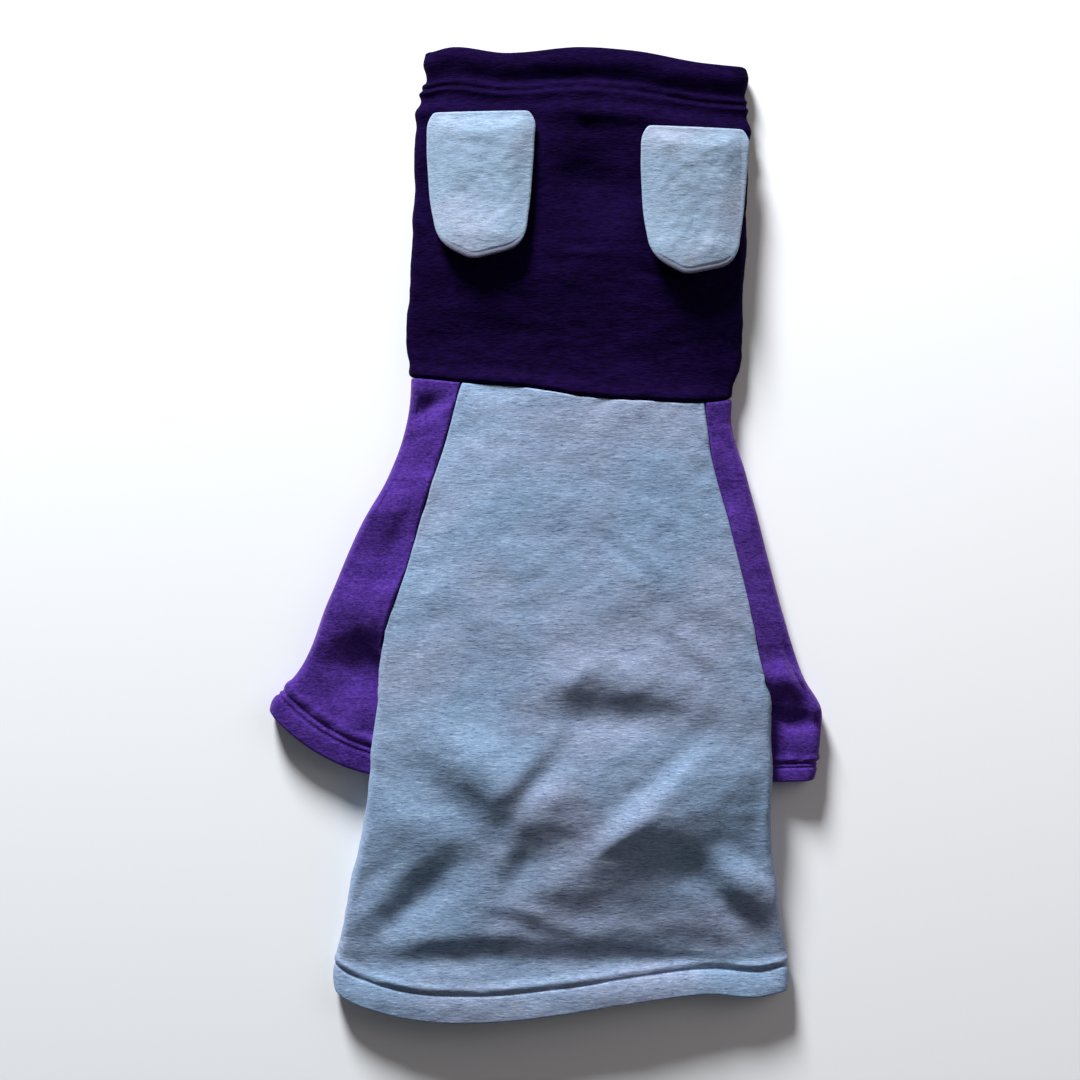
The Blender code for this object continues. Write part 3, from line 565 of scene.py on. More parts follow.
def back_half(sleeve, share):
    """The back's outer face from its middle line to one edge, as x and z."""
    side = sleeve.side
    middle = (edge_x(LEFT, share) + edge_x(RIGHT, share)) / 2
    edge = edge_x(side, share)
    turn = sleeve.turn(share)
    if turn == 0:
        end = edge - side * SEAM_GAP / 2
        near_edge = mix(BACK_EDGE_AT_NECK, BACK_EDGE_AT_KINK, share / sleeve.kink)
        start = mix(end, middle, near_edge)
    else:
        start = edge - side * FOLD_DEPTH * math.sin(math.pi / 2 * min(1.0, 2 * turn))
    x = np.linspace(middle, start, CURVE_SAMPLES)
    top = split(np.stack([x, back_height(x, share)], axis=1), TOP_STEPS)
    if turn == 0:
        x = np.linspace(start, end, END_SAMPLES)
        rest = np.stack([x, back_height(x, share)], axis=1)
        return joined(top, split(rest, BEND_STEPS + WRAP_STEPS))
    if turn < 1:
        curled = bend(start, top[-1, 1], TUCKED_HEIGHT + SEAM_GAP, side, turn)
        return joined(top, split(curled, BEND_STEPS + WRAP_STEPS))
    x = np.linspace(start, edge - side * (sleeve.wrap(share) - SEAM_GAP / 2), END_SAMPLES)
    low = under_height(x, max(share, sleeve.underarm))
    under = split(np.stack([x, low], axis=1), WRAP_STEPS)
    return joined(top, split(bend(start, top[-1, 1], under[0, 1], side), BEND_STEPS), under)


def back_edge(sleeve, share):
    """Where the back meets the sleeve's upper edge, as x and z."""
    x, z = back_half(sleeve, share)[-1]
    turn = sleeve.turn(share)
    if turn == 0:
        return x + sleeve.side * SEAM_GAP, z
    lapped = min(1.0, sleeve.curl(share) / FIRST_LAP)
    drop = max(0.0, SWEATSHIRT_WALL * math.cos(math.pi * turn)) + SEAM_GAP
    inwards = max(0.0, sleeve.curl(share) - FIRST_LAP) / (1 - FIRST_LAP)
    return mix(x + sleeve.side * SEAM_GAP, sleeve.inner_top[0], inwards), z - lapped * drop


def belly_edge(sleeve, share):
    """X of the belly panel's edge, at its raglan seam and then at the side seam."""
    if share >= sleeve.underarm:
        return edge_x(sleeve.side, share) - sleeve.side * (SIDE_WRAP + SEAM_GAP / 2)
    kink_x = edge_x(sleeve.side, min(share, sleeve.kink))
    x = mix(kink_x, sleeve.inner_top[0], sleeve.curl(share))
    return x - sleeve.side * SEAM_GAP / 2


def sleeve_folds(sleeve, along, across):
    """Height of a sleeve's dents and ridges."""
    folds = [(a, c, w, n, 0, h * SLEEVE_HEIGHT) for a, c, n, w, h in sleeve.folds]
    return fold_height(folds, along, across)


def sleeve_row(sleeve, share, down):
    """One row of the sleeve's outer face, from its back edge over the fold to its belly edge.

    share runs along the raglan seams, and down runs from the underarm to the cuff.
    """
    tube = share >= sleeve.underarm
    along = mix(sleeve.fold_at_underarm * share / sleeve.underarm, 1.0, down)
    outer = sleeve.fold_point(along)
    if tube:
        first = mix(sleeve.inner_top, sleeve.inner_end, down)
        last = first
        inner_height = TUCKED_HEIGHT
    else:
        x, inner_height = back_edge(sleeve, share)
        first = np.array([x, body_y(x, share)])
        x = belly_edge(sleeve, share) + sleeve.side * SEAM_GAP
        last = np.array([x, body_y(x, share)])
    out = (outer - first) / np.linalg.norm(outer - first)
    turn_at = outer - FOLD_DEPTH * out
    start = first + FOLD_DEPTH * out * tube
    end = last + FOLD_DEPTH * out * tube

    w = np.linspace(0, 1, CURVE_SAMPLES)
    x, y = mix(start[0], turn_at[0], w), mix(start[1], turn_at[1], w)
    beside_body = ease((sleeve.side * x - sleeve.body_side(y)) / BESIDE_BODY)
    rise = mix(w, beside_body, sleeve.curl(share))
    dents = sleeve_folds(sleeve, along, w) * rise * (1 - w**SLEEVE_DENT_REACH)
    top = np.column_stack([x, y, mix(inner_height, SLEEVE_HEIGHT, rise) + dents])
    floor = np.column_stack([mix(turn_at[0], end[0], w), mix(turn_at[1], end[1], w), 0 * w])
    angle = np.linspace(0, math.pi, BEND_SAMPLES)[:, None]
    height = top[-1, 2]
    fold = np.hstack([turn_at + FOLD_DEPTH * out * np.sin(angle), height / 2 * (1 + np.cos(angle))])
    if tube:
        angle = np.linspace(0, math.pi / 2, END_SAMPLES)[:, None]
        place = start - FOLD_DEPTH * out * np.cos(angle)
        raised = np.hstack([place, inner_height / 2 * (1 + np.sin(angle))])
        sunk = raised[::-1] * (1, 1, -1) + (0, 0, inner_height)
        path = joined(
            split(raised, INNER_BEND_STEPS),
            split(top, SLEEVE_STEPS),
            split(fold, BEND_STEPS),
            split(floor, SLEEVE_STEPS),
            split(sunk, INNER_BEND_STEPS),
        )
    else:
        near = mix(SLEEVE_EDGE_AT_NECK, SLEEVE_EDGE_AT_UNDERARM, sleeve.curl(share))
        seam_rows = np.linspace(0, near, INNER_BEND_STEPS, endpoint=False)
        places = np.concatenate([seam_rows, np.linspace(near, 1, SLEEVE_STEPS + 1)])
        path = joined(
            points_at(top, places),
            split(fold, BEND_STEPS),
            points_at(floor, 1 - places[::-1]),
        )
        path[:, 1] += sleeve.neck_bulge(path[:, 0]) * ease(1 - share / NECK_BLEND)
    place = np.linalg.norm(path[:, :2] - first, axis=1) / np.linalg.norm(outer - first)
    bow = sleeve.bow * 4 * place * (1 - place) * ease(down)
    path[:, :2] += bow[:, None] * sleeve.down
    return path


def neck_profile():
    """The neck's upper outline between its two folds, as x and z."""
    halves = []
    for side in (LEFT, RIGHT):
        sleeve = SLEEVES[side]
        strip = sleeve_row(sleeve, 0.0, 0.0)[: INNER_BEND_STEPS + SLEEVE_STEPS + 1, (0, 2)]
        halves.append(joined(back_half(sleeve, 0.0), strip))
    return joined(halves[0][::-1], halves[1])


NECK_PROFILE = neck_profile()


def hood_edges(share):
    """X of the hood's two folds."""
    settled = ease(share / WIDTH_SETTLES)
    return [
        mix(side * NECK_WIDTH / 2, HOOD_WIDTH * read_curve(HOOD_SECTIONS, column, share), settled)
        for side, column in ((LEFT, 1), (RIGHT, 2))
    ]


def hood_height(x, share):
    """Z of the hood's upper outer face, level beyond its folds."""
    left, right = hood_edges(share)
    across = (2 * x - left - right) / (right - left - 2 * FOLD_DEPTH)
    across = np.clip(across, -1.0, 1.0)
    neck_left, neck_right = NECK_PROFILE[0, 0], NECK_PROFILE[-1, 0]
    neck_x = mix(neck_left, neck_right, (across + 1) / 2)
    neck = np.interp(neck_x, *NECK_PROFILE.T)
    height = read_curve(HOOD_SECTIONS, 3, share)
    rise = (HOOD_HEIGHT - HOOD_SIDE_HEIGHT) * (1 - np.abs(across) ** HOOD_CROWN)
    hood = height * (HOOD_SIDE_HEIGHT + rise)
    hood = hood + hood_folds(x, share * HOOD_LENGTH) * (1 - across**DENT_REACH)
    return mix(neck, hood, ease(share / HEIGHT_SETTLES))


def hood_y(x, share):
    """Y of the hood's cloth at a share of the way from the neck seam to its top edge."""
    left, right = hood_edges(share)
    across = (2 * x - left - right) / (right - left)
    top = HOOD_LENGTH + HOOD_WIDTH * read_curve(HOOD_TOP_LINE, 1, across)
    return mix(neck_line(across * NECK_WIDTH / 2), top, share)


def hood_share(x, y):
    """The share of the way from the neck seam to the hood's top edge at a place on it."""
    share = y / HOOD_LENGTH
    for _ in range(3):
        share = share + (y - hood_y(x, share)) / HOOD_LENGTH
    return share


def hood_row(share):
    """One loop of the hood's outer face, from the middle of its top to the right and round."""
    left, right = hood_edges(share)
    middle = (left + right) / 2
    halves = []
    for side, edge in ((RIGHT, right), (LEFT, left)):
        start = edge - side * FOLD_DEPTH
        x = np.linspace(middle, start, CURVE_SAMPLES)
        top = np.stack([x, hood_height(x, share)], axis=1)
        floor = np.array([[start, 0.0], [middle, 0.0]])
        round_fold = bend(start, top[-1, 1], 0.0, side)
        halves.append(
            joined(split(top, HOOD_STEPS), split(round_fold, BEND_STEPS), split(floor, HOOD_STEPS))
        )
    x, z = joined(halves[0], halves[1][::-1]).T
    return np.column_stack([x, hood_y(x, share), z])


def place_of_part():
    """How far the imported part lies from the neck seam's middle, which the form is measured from."""
    shares = np.linspace(0, 1, 101)
    left = min(hood_edges(share)[0] for share in shares)
    edges = hood_edges(1.0)
    top = hood_y(np.linspace(*edges, 400), 1.0).max()
    low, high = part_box("hood")
    return np.array([low.x - left, high.y - top, 0.0])


PLACE = place_of_part()

# Falls of the back that are finer than its main ones: places and sizes as there, drop in metres
FINE_FALLS = (
    # along, across, length, width, turn, drop
    (0.769, -0.131, 0.080, 0.036, 62, 0.0026),
    (0.856, -0.092, 0.066, 0.027, -15, 0.0028),
    (0.725, 0.421, 0.088, 0.027, -80, 0.0030),
    (0.054, -0.202, 0.055, 0.044, -30, 0.0014),
    (0.250, 0.107, 0.088, 0.022, -40, 0.0010),
    (0.430, 0.262, 0.088, 0.027, -40, 0.0016),
    (0.905, -0.290, 0.199, 0.031, 8, 0.0026),
    (0.779, 0.399, 0.062, 0.022, -45, -0.0022),
    (0.921, 0.284, 0.132, 0.022, -5, 0.0022),
    (0.612, -0.060, 0.110, 0.050, 50, -0.0018),
    (0.730, 0.107, 0.066, 0.018, 35, 0.0015),
    (0.340, -0.080, 0.070, 0.030, 15, 0.0008),
    (0.160, 0.230, 0.070, 0.030, -60, 0.0010),
    (0.625, -0.225, 0.110, 0.075, -42, 0.0044),
    (0.505, 0.110, 0.130, 0.050, -2, 0.0018),
    (0.455, 0.062, 0.030, 0.040, -10, 0.0010),
    (0.760, -0.330, 0.160, 0.090, 10, 0.0040),
    (0.815, 0.370, 0.100, 0.034, -43, 0.0014),
    (0.660, 0.155, 0.170, 0.060, 42, -0.0026),
    (0.775, -0.010, 0.075, 0.060, 0, -0.0024),
    (0.855, -0.080, 0.330, 0.085, 0, 0.0040),
)

# Falls of the sleeves and of the hood, in the same measures
SLEEVE_FALLS = (
    # along, across, length, width, turn, drop
    (0.016, -0.319, 0.040, 0.034, 0, 0.0032),
    (0.032, -0.300, 0.060, 0.020, 32, -0.0022),
    (0.220, -0.385, 0.090, 0.075, 30, 0.0100),
    (0.316, -0.407, 0.030, 0.032, 10, -0.0022),
    (0.400, -0.470, 0.110, 0.085, 20, 0.0085),
    (0.150, 0.350, 0.040, 0.070, -50, 0.0026),
    (0.450, 0.476, 0.060, 0.040, -10, -0.0066),
    (0.524, 0.487, 0.085, 0.024, -8, 0.0056),
)
HOOD_FALLS = (
    # along, across, length, width, turn, drop
    (-0.371, 0.008, 0.060, 0.060, 0, 0.0056),
    (-0.290, 0.107, 0.060, 0.080, 0, -0.0050),
    (-0.214, 0.019, 0.060, 0.012, 0, 0.0014),
    (-0.028, 0.008, 0.060, 0.025, 0, 0.0012),
)

# Relief of the cloth and of its seams, in metres
SEAM_ROLL = 0.0018
SWEATSHIRT_WAVES = 0.0010
FLEECE_WAVES = 0.0008
PUCKER = 0.0004
PUCKER_REACH = 0.010

# Share of the back's length over which a raglan seam's roll ends at the underarm
ROLL_ENDS = 0.03

# Relief of the hems, the casing and the neck seam, in metres
HEM_PUFF = 0.0007
HEM_CURL = 0.0026
STITCH_GROOVE = 0.0010
STITCH_GROOVE_WIDTH = 0.0011
HEM_RIDGE = 0.0013
HEM_RIDGE_ABOVE = 0.0045
HEM_RIDGE_WIDTH = 0.0028
HEM_RIDGE_PUCKER = 0.0008
CASING_ROLL = 0.0022
CASING_ROLL_AT = 0.008
CASING_ROLL_WIDTH = 0.007
CASING_DIP = 0.0011
CASING_DIP_AT = 0.021
CASING_DIP_BELOW = 0.009
CASING_DIP_WIDTH = 0.004
CASING_RIDGE = 0.0008
CASING_RIDGE_BESIDE = 0.0032
CASING_RIDGE_WIDTH = 0.0017
CASING_GROOVE = 0.0008
CASING_GROOVE_WIDTH = 0.0012
CASING_BULGE = 0.0036
CASING_BULGE_ACROSS = 0.028
CASING_BULGE_REACH = 0.045
CASING_BULGE_BELOW = 0.018
CASING_BULGE_WIDTH = 0.006
NECK_RIDGE = 0.0012
NECK_RIDGE_AT = 0.004
GATHERS = 0.0012

# Rows of stitches on a cuff, in shares of its hem's depth
CUFF_STITCHES = (1.0, 0.78)

# Ears in metres: their rounded rim, the seam beside it, their filling and their lumps.
# The spine's ends are shares of the ear's length
EAR_RIM = 0.0022
EAR_SEAM_IN = 0.0036
EAR_SEAM_DEPTH = 0.0006
EAR_PUFF_FROM = 0.020
EAR_SPINE = (0.32, 0.68)
EAR_BED = 0.0012
EAR_RIM_DROP = 0.0009
EAR_LUMPS = 0.0007
EAR_FINE_LUMPS = 0.0003
EAR_EASING = 4
EAR_AROUND = 260
EAR_RINGS = 56

# Stitches in metres
STITCH_LENGTH = 0.0024
STITCH_PITCH = 0.0031
THREAD = 0.0006
THREAD_OUT = 0.2

# The photograph's middle and width as they lie on the floor, and its camera's height, in metres
PHOTO_MIDDLE = (PLACE[0] - 0.02268, PLACE[1] - 0.10656)
PHOTO_WIDTH = 0.7776
CAMERA_HEIGHT = 1.9
FILM_WIDTH = 36.0
FLOOR_HALF = 3.0

# Lamps, aimed at the garment, and the even light of the room
LAMPS = (
    # name, place, size, power, colour
    ("window", (-0.85, 2.95, 1.22), 0.9, 252.0, (0.93, 0.97, 1.00)),
    ("fill", (1.60, 0.70, 1.30), 1.6, 7.0, (1.00, 0.88, 0.86)),
)
ROOM_LIGHT = 0.09

# Marl: the colours of its ground, its dark fibres and its pale ones
SWEATSHIRT_SHADES = (0.240, 0.308, 0.440), (0.105, 0.145, 0.240), (0.385, 0.460, 0.590)
EAR_SHADES = (0.280, 0.342, 0.448), (0.170, 0.215, 0.307), (0.400, 0.458, 0.548)
# The ears' underside, where it shows along their lower rim, gets a far darker colour than their marl:
# painted shade
EAR_UNDERSIDE_SHADE = (0.10, 0.10, 0.15)

# Fleece: the colours of its ground and its tips, sheen, the sheen's colour, stretch of its nap
SLEEVE_PILE = (0.021, 0.0075, 0.092), (0.120, 0.046, 0.370), 0.30, (0.78, 0.46, 0.95), 1.0
HOOD_PILE = (0.0020, 0.0004, 0.0095), (0.0125, 0.0035, 0.0480), 0.012, (0.50, 0.25, 0.9), 2.0


def rows_with_more(count, *places):
    """Shares from 0 to 1, evenly spaced, with more of them near some places.

    A place is its share, its reach to each side and how many more shares it gets.
    """
    shares = [np.linspace(0, 1, count)]
    shares += [np.linspace(at - reach, at + reach, more) for at, reach, more in places]
    shares = np.unique(np.clip(np.concatenate(shares), 0.0, 1.0))
    apart = np.diff(shares) > 1e-4
    return np.concatenate([shares[:-1][apart], [1.0]])


def across_cloth(grid):
    """Distance across the cloth from each row's first point."""
    steps = np.linalg.norm(np.diff(grid, axis=1), axis=2)
    return np.concatenate([np.zeros((len(grid), 1)), np.cumsum(steps, axis=1)], axis=1)


def roll(distance, reach):
    """How far cloth sinks near a seam that rolls it under in a quarter round."""
    near = np.clip(1 - distance / reach, 0.0, 1.0)
    return reach * (1 - np.sqrt(1 - near**2))


def ridge(distance, middle, width):
    """A ridge from 0 to 1 along a line in the cloth."""
    return np.exp(-(((distance - middle) / width) ** 2))


def waves(points, size, seed):
    """Smooth unevenness from -1 to 1, with lumps of about this size along X, Y and Z."""
    scaled = points / np.asarray(size) + seed
    found = [noise.noise(place) for place in scaled.reshape(-1, 3)]
    return 1.6 * np.array(found).reshape(points.shape[:-1])


def outward(grid, closed_from, flip=1):
    """Unit normals of a grid of points; from row closed_from on, it is a tube."""
    across = np.gradient(grid, axis=1)
    along = np.gradient(grid, axis=0)
    if closed_from is not None:
        wrapped = (grid[closed_from:, 1] - grid[closed_from:, -2]) / 2
        across[closed_from:, 0] = across[closed_from:, -1] = wrapped
        first_step = grid[closed_from + 1, 0] - grid[closed_from, 0]
        along[closed_from, 0] = along[closed_from, -1] = first_step
    normals = np.cross(across, along) * flip
    return normals / np.maximum(np.linalg.norm(normals, axis=2, keepdims=True), 1e-12)


def object_of(name, points, faces):
    """A smooth mesh object, its place in its mesh."""
    mesh = bpy.data.meshes.new(name)
    mesh.from_pydata(points, [], faces)
    mesh.polygons.foreach_set("use_smooth", np.ones(len(mesh.polygons), bool))
    mesh.update()
    piece = bpy.data.objects.new(name, mesh)
    bpy.context.scene.collection.objects.link(piece)
    return piece


def cloth(name, outer, inner, closed_from):
    """A closed piece between two grids of points; from row closed_from on, it is a tube."""
    rows, columns = outer.shape[:2]
    number = np.arange(2 * rows * columns).reshape(2, rows, columns)
    if closed_from is not None:
        number[:, closed_from:, -1] = number[:, closed_from:, 0]
    top, under = number
    quads = [
        (top[:-1, :-1], top[:-1, 1:], top[1:, 1:], top[1:, :-1]),
        (under[:-1, :-1], under[1:, :-1], under[1:, 1:], under[:-1, 1:]),
        (top[0, 1:], top[0, :-1], under[0, :-1], under[0, 1:]),
        (top[-1, :-1], top[-1, 1:], under[-1, 1:], under[-1, :-1]),
    ]
    edges = rows - 1 if closed_from is None else closed_from
    before, after = slice(0, edges), slice(1, edges + 1)
    quads.append((top[before, 0], top[after, 0], under[after, 0], under[before, 0]))
    quads.append((top[after, -1], top[before, -1], under[before, -1], under[after, -1]))
    faces = np.concatenate([np.stack(quad, axis=-1).reshape(-1, 4) for quad in quads])
    used, faces = np.unique(faces, return_inverse=True)
    faces = faces.reshape(-1, 4)
    points = np.concatenate([outer.reshape(-1, 3), inner.reshape(-1, 3)])[used]
    a, b, c, d = points[faces].transpose(1, 0, 2)
    volume = np.sum(a * (np.cross(b, c) + np.cross(c, d)))
    if volume < 0:
        faces = faces[:, ::-1]
    return object_of(name, points + PLACE, faces.tolist())


def two_faces(grid, normals, relief, wall, from_end, end_wall):
    """The outer and inner faces of cloth on a grid, its free end rounded."""
    rounded = 0.98 * roll(from_end, end_wall / 2)
    outer = grid + normals * (relief - rounded)[..., None]
    inner = grid + normals * (relief + rounded - wall)[..., None]
    return outer, inner


def line_on(outer, normals, from_end, depth):
    """The points along the row of cloth that lies this far from its end."""
    row = int(np.argmin(np.abs(from_end[:, 0] - depth)))
    line = outer[row] + normals[row] * THREAD * THREAD_OUT + PLACE
    line[:, 2] = np.maximum(line[:, 2], THREAD / 2)
    return line


def hem_relief(from_end, depth, pucker):
    """Height of a turned hem: its puff, its groove of stitches and the ridge above it."""
    puff = HEM_PUFF * np.sin(math.pi * np.clip(from_end / depth, 0, 1))
    groove = STITCH_GROOVE * ridge(from_end, depth, STITCH_GROOVE_WIDTH)
    height = HEM_RIDGE + HEM_RIDGE_PUCKER * pucker
    above = height * ridge(from_end, depth + HEM_RIDGE_ABOVE, HEM_RIDGE_WIDTH)
    return puff - groove + above


def fine_falls(table, grid):
    """Height of the finer falls of one table at the points of a grid."""
    falls = [
        (-a * BACK_LENGTH, c * HEM_WIDTH, n * HEM_WIDTH, w * HEM_WIDTH, turn, d)
        for a, c, n, w, turn, d in table
    ]
    return fall_height(falls, grid[:, :, 1], grid[:, :, 0])


def back():
    """The marl back with its folds, rolled raglan seams and turned hem."""
    hem = HEM_DEPTH / BACK_LENGTH
    rows = rows_with_more(190, (0.0, 0.008, 12), (1 - hem, 0.014, 26), (1.0, 0.004, 14))
    grid = []
    for share in rows:
        left, right = [back_half(SLEEVES[side], share) for side in (LEFT, RIGHT)]
        x, z = joined(left[::-1], right).T
        grid.append(np.column_stack([x, body_y(x, share), z]))
    grid = np.array(grid)
    grid[0, :, 1] -= SEAM_GAP / 2
    normals = outward(grid, None, -1)
    upper = np.clip(normals[:, :, 2], 0, 1) ** 2
    across = across_cloth(grid)
    share = rows[:, None] + 0 * across
    from_neck, from_hem = share * BACK_LENGTH, (1 - share) * BACK_LENGTH
    relief = fine_falls(FINE_FALLS, grid) * upper
    relief += SWEATSHIRT_WAVES * waves(grid, (0.045, 0.030, 0.045), 3.1)
    relief += 0.35 * SWEATSHIRT_WAVES * waves(grid, (0.014, 0.010, 0.014), 8.3)
    relief += hem_relief(from_hem, HEM_DEPTH, waves(grid, (0.020, 0.060, 0.020), 1.9))
    relief += HEM_CURL * np.clip(1 - from_hem / HEM_DEPTH, 0, 1) * upper
    fine = PUCKER * waves(grid, (0.009, 0.009, 0.009), 5.7)
    relief += fine * (0.5 * ridge(from_hem, HEM_DEPTH, 0.006) + ridge(from_neck, 0, PUCKER_REACH))
    sink = roll(from_neck, SEAM_ROLL)
    for side, from_edge in ((LEFT, across), (RIGHT, across[:, -1:] - across)):
        sewn = ease((SLEEVES[side].underarm - share) / ROLL_ENDS)
        sink = np.maximum(sink, sewn * roll(from_edge, SEAM_ROLL))
        relief += sewn * fine * ridge(from_edge, 0, PUCKER_REACH)
    relief *= 1 - np.clip(-normals[:, :, 2], 0, 1)
    double = SWEATSHIRT_WALL * HEM_LAYERS
    wall = np.where(from_hem < HEM_DEPTH, double, SWEATSHIRT_WALL)
    outer, inner = two_faces(grid, normals, relief - sink, wall, from_hem, double)
    return cloth("back_panel_cloth", outer, inner, None), [
        line_on(outer, normals, from_hem, HEM_DEPTH)
    ]


def belly():
    """The marl panel under the belly, with its half of the turned hem."""
    hem = HEM_DEPTH / BACK_LENGTH
    rows = rows_with_more(120, (0.0, 0.008, 8), (1 - hem, 0.014, 20), (1.0, 0.004, 12))
    grid = []
    for share in rows:
        x = np.linspace(*[belly_edge(SLEEVES[side], share) for side in (LEFT, RIGHT)], BELLY_STEPS)
        grid.append(np.column_stack([x, body_y(x, share), under_height(x, share)]))
    grid = np.array(grid)
    grid[0, :, 1] -= SEAM_GAP / 2
    normals = outward(grid, None)
    across = across_cloth(grid)
    share = rows[:, None] + 0 * across
    from_neck, from_hem = share * BACK_LENGTH, (1 - share) * BACK_LENGTH
    from_side = np.minimum(across, across[:, -1:] - across)
    sink = np.maximum(roll(from_neck, SEAM_ROLL), roll(from_side, SEAM_ROLL))
    sink += STITCH_GROOVE * ridge(from_hem, HEM_DEPTH, STITCH_GROOVE_WIDTH)
    sink += 0.4 * SWEATSHIRT_WAVES * (1 + waves(grid, (0.045, 0.030, 0.045), 2.3))
    double = SWEATSHIRT_WALL * HEM_LAYERS
    wall = np.where(from_hem < HEM_DEPTH, double, SWEATSHIRT_WALL)
    outer, inner = two_faces(grid, normals, -sink, wall, from_hem, double)
    return cloth("belly_panel_cloth", outer, inner, None), [
        line_on(outer, normals, from_hem, HEM_DEPTH)
    ]


def raglan(sleeve):
    """A fleece sleeve with its folds, rolled raglan seam and stitched cuff."""
    shares = sleeve.underarm * rows_with_more(150, (0.0, 0.012, 10))
    downs = rows_with_more(64, (sleeve.hem_from, 0.09, 22), (0.93, 0.05, 12), (1.0, 0.03, 12))[1:]
    grid = [sleeve_row(sleeve, min(share, sleeve.underarm - 1e-6), 0.0) for share in shares]
    grid[-1] = sleeve_row(sleeve, sleeve.underarm, 0.0)
    grid += [sleeve_row(sleeve, sleeve.underarm, down) for down in downs]
    grid = np.array(grid)
    first_tube_row = len(shares) - 1
    tube, open_rows = slice(first_tube_row, None), slice(0, first_tube_row)
    grid[0, :, 1] -= SEAM_GAP / 2
    normals = outward(grid, first_tube_row, -sleeve.side)
    inwards = grid[tube, 0] - grid[tube, INNER_BEND_STEPS]
    inwards[:, 2] = 0
    inwards /= np.linalg.norm(inwards, axis=1, keepdims=True)
    normals[tube, 0] = normals[tube, -1] = inwards
    normals[open_rows, 0] = (0, 0, 1)
    normals[open_rows, -1] = (0, 0, -1)

    across = across_cloth(grid)
    down = np.concatenate([np.zeros(len(shares)), downs])[:, None] + 0 * across
    share = np.concatenate([shares, np.full(len(downs), sleeve.underarm)])[:, None] + 0 * across
    from_cuff = (1 - down) * sleeve.tube_length + (sleeve.underarm - share) * BACK_LENGTH
    upper = np.clip(normals[:, :, 2], 0, 1)
    lying = np.clip(-normals[:, :, 2], 0, 1)
    seed = 4.4 + sleeve.side
    relief = FLEECE_WAVES * waves(grid, (0.034, 0.034, 0.034), seed) * (0.3 + 0.7 * upper)
    relief += 0.4 * FLEECE_WAVES * waves(grid, (0.012, 0.012, 0.012), seed + 2) * upper
    relief += fine_falls(SLEEVE_FALLS, grid) * upper**2
    fine = PUCKER * waves(grid, (0.009, 0.009, 0.009), seed + 5)
    depth = CUFF_HEM_DEPTH
    relief += hem_relief(from_cuff, depth, fine / PUCKER)
    second = CUFF_STITCHES[1] * depth
    relief -= STITCH_GROOVE * ridge(from_cuff, second, STITCH_GROOVE_WIDTH)
    relief += fine * ridge(across, 0.0, PUCKER_REACH)
    sewn = ease((sleeve.underarm - share) / ROLL_ENDS)
    sink = np.maximum(sewn * roll(across, SEAM_ROLL * 1.3), roll(share * BACK_LENGTH, SEAM_ROLL))
    double = FLEECE_WALL * HEM_LAYERS
    wall = np.where(from_cuff < depth, double, FLEECE_WALL)
    outer, inner = two_faces(grid, normals, relief * (1 - lying) - sink, wall, from_cuff, double)
    name = "sleeve_left" if sleeve.side == LEFT else "sleeve_right"
    return cloth(name + "_fleece", outer, inner, first_tube_row), [
        line_on(outer, normals, from_cuff, at * depth) for at in CUFF_STITCHES
    ]


def hood():
    """The fleece hood with its neck seam, its stitched casing and the gathers below it."""
    casing = CASING_DEPTH / HOOD_LENGTH
    rows = rows_with_more(150, (0.0, 0.012, 12), (1 - casing, 0.03, 26), (1.0, 0.012, 16))
    grid = np.array([hood_row(share) for share in rows])
    grid[0, :, 1] += SEAM_GAP / 2
    normals = outward(grid, 0)
    share = rows[:, None] + 0 * grid[:, :, 0]
    from_top, from_neck = (1 - share) * HOOD_LENGTH, share * HOOD_LENGTH
    lying = np.clip(-normals[:, :, 2], 0, 1)
    relief = FLEECE_WAVES * waves(grid, (0.050, 0.026, 0.050), 6.2)
    relief += 0.4 * FLEECE_WAVES * waves(grid, (0.016, 0.008, 0.016), 9.4)
    relief += fine_falls(HOOD_FALLS, grid) * np.clip(normals[:, :, 2], 0, 1) ** 2
    gathers = GATHERS * waves(grid, (0.016, 0.050, 0.016), 7.7)
    relief += CASING_ROLL * ridge(from_top, CASING_ROLL_AT, CASING_ROLL_WIDTH)
    relief -= CASING_DIP * ridge(from_top, CASING_DIP_AT, CASING_DIP_WIDTH)
    for beside in (-CASING_RIDGE_BESIDE, CASING_RIDGE_BESIDE):
        line = ridge(from_top, CASING_DEPTH + beside, CASING_RIDGE_WIDTH)
        relief += (CASING_RIDGE + 0.3 * gathers) * line
    relief -= CASING_GROOVE * ridge(from_top, CASING_DEPTH, CASING_GROOVE_WIDTH)
    relief -= CASING_DIP * ridge(from_top, CASING_DEPTH + CASING_DIP_BELOW, CASING_DIP_WIDTH)
    bulge = 0.35 + 0.65 * ridge(grid[:, :, 0], CASING_BULGE_ACROSS, CASING_BULGE_REACH)
    line = ridge(from_top, CASING_DEPTH + CASING_BULGE_BELOW, CASING_BULGE_WIDTH)
    relief += (CASING_BULGE * bulge + gathers) * line
    relief += PUCKER * waves(grid, (0.009, 0.009, 0.009), 2.2) * ridge(from_neck, 0, PUCKER_REACH)
    relief += NECK_RIDGE * ridge(from_neck, NECK_RIDGE_AT, NECK_RIDGE_AT)
    double = FLEECE_WALL * HEM_LAYERS
    wall = np.where(from_top < CASING_DEPTH, double, FLEECE_WALL)
    relief = relief * (1 - lying) - roll(from_neck, SEAM_ROLL * 1.6)
    outer, inner = two_faces(grid, normals, relief, wall, from_top, double)
    return cloth("hood_fleece", outer, inner, 0), [
        line_on(outer, normals, from_top, CASING_DEPTH)
    ]


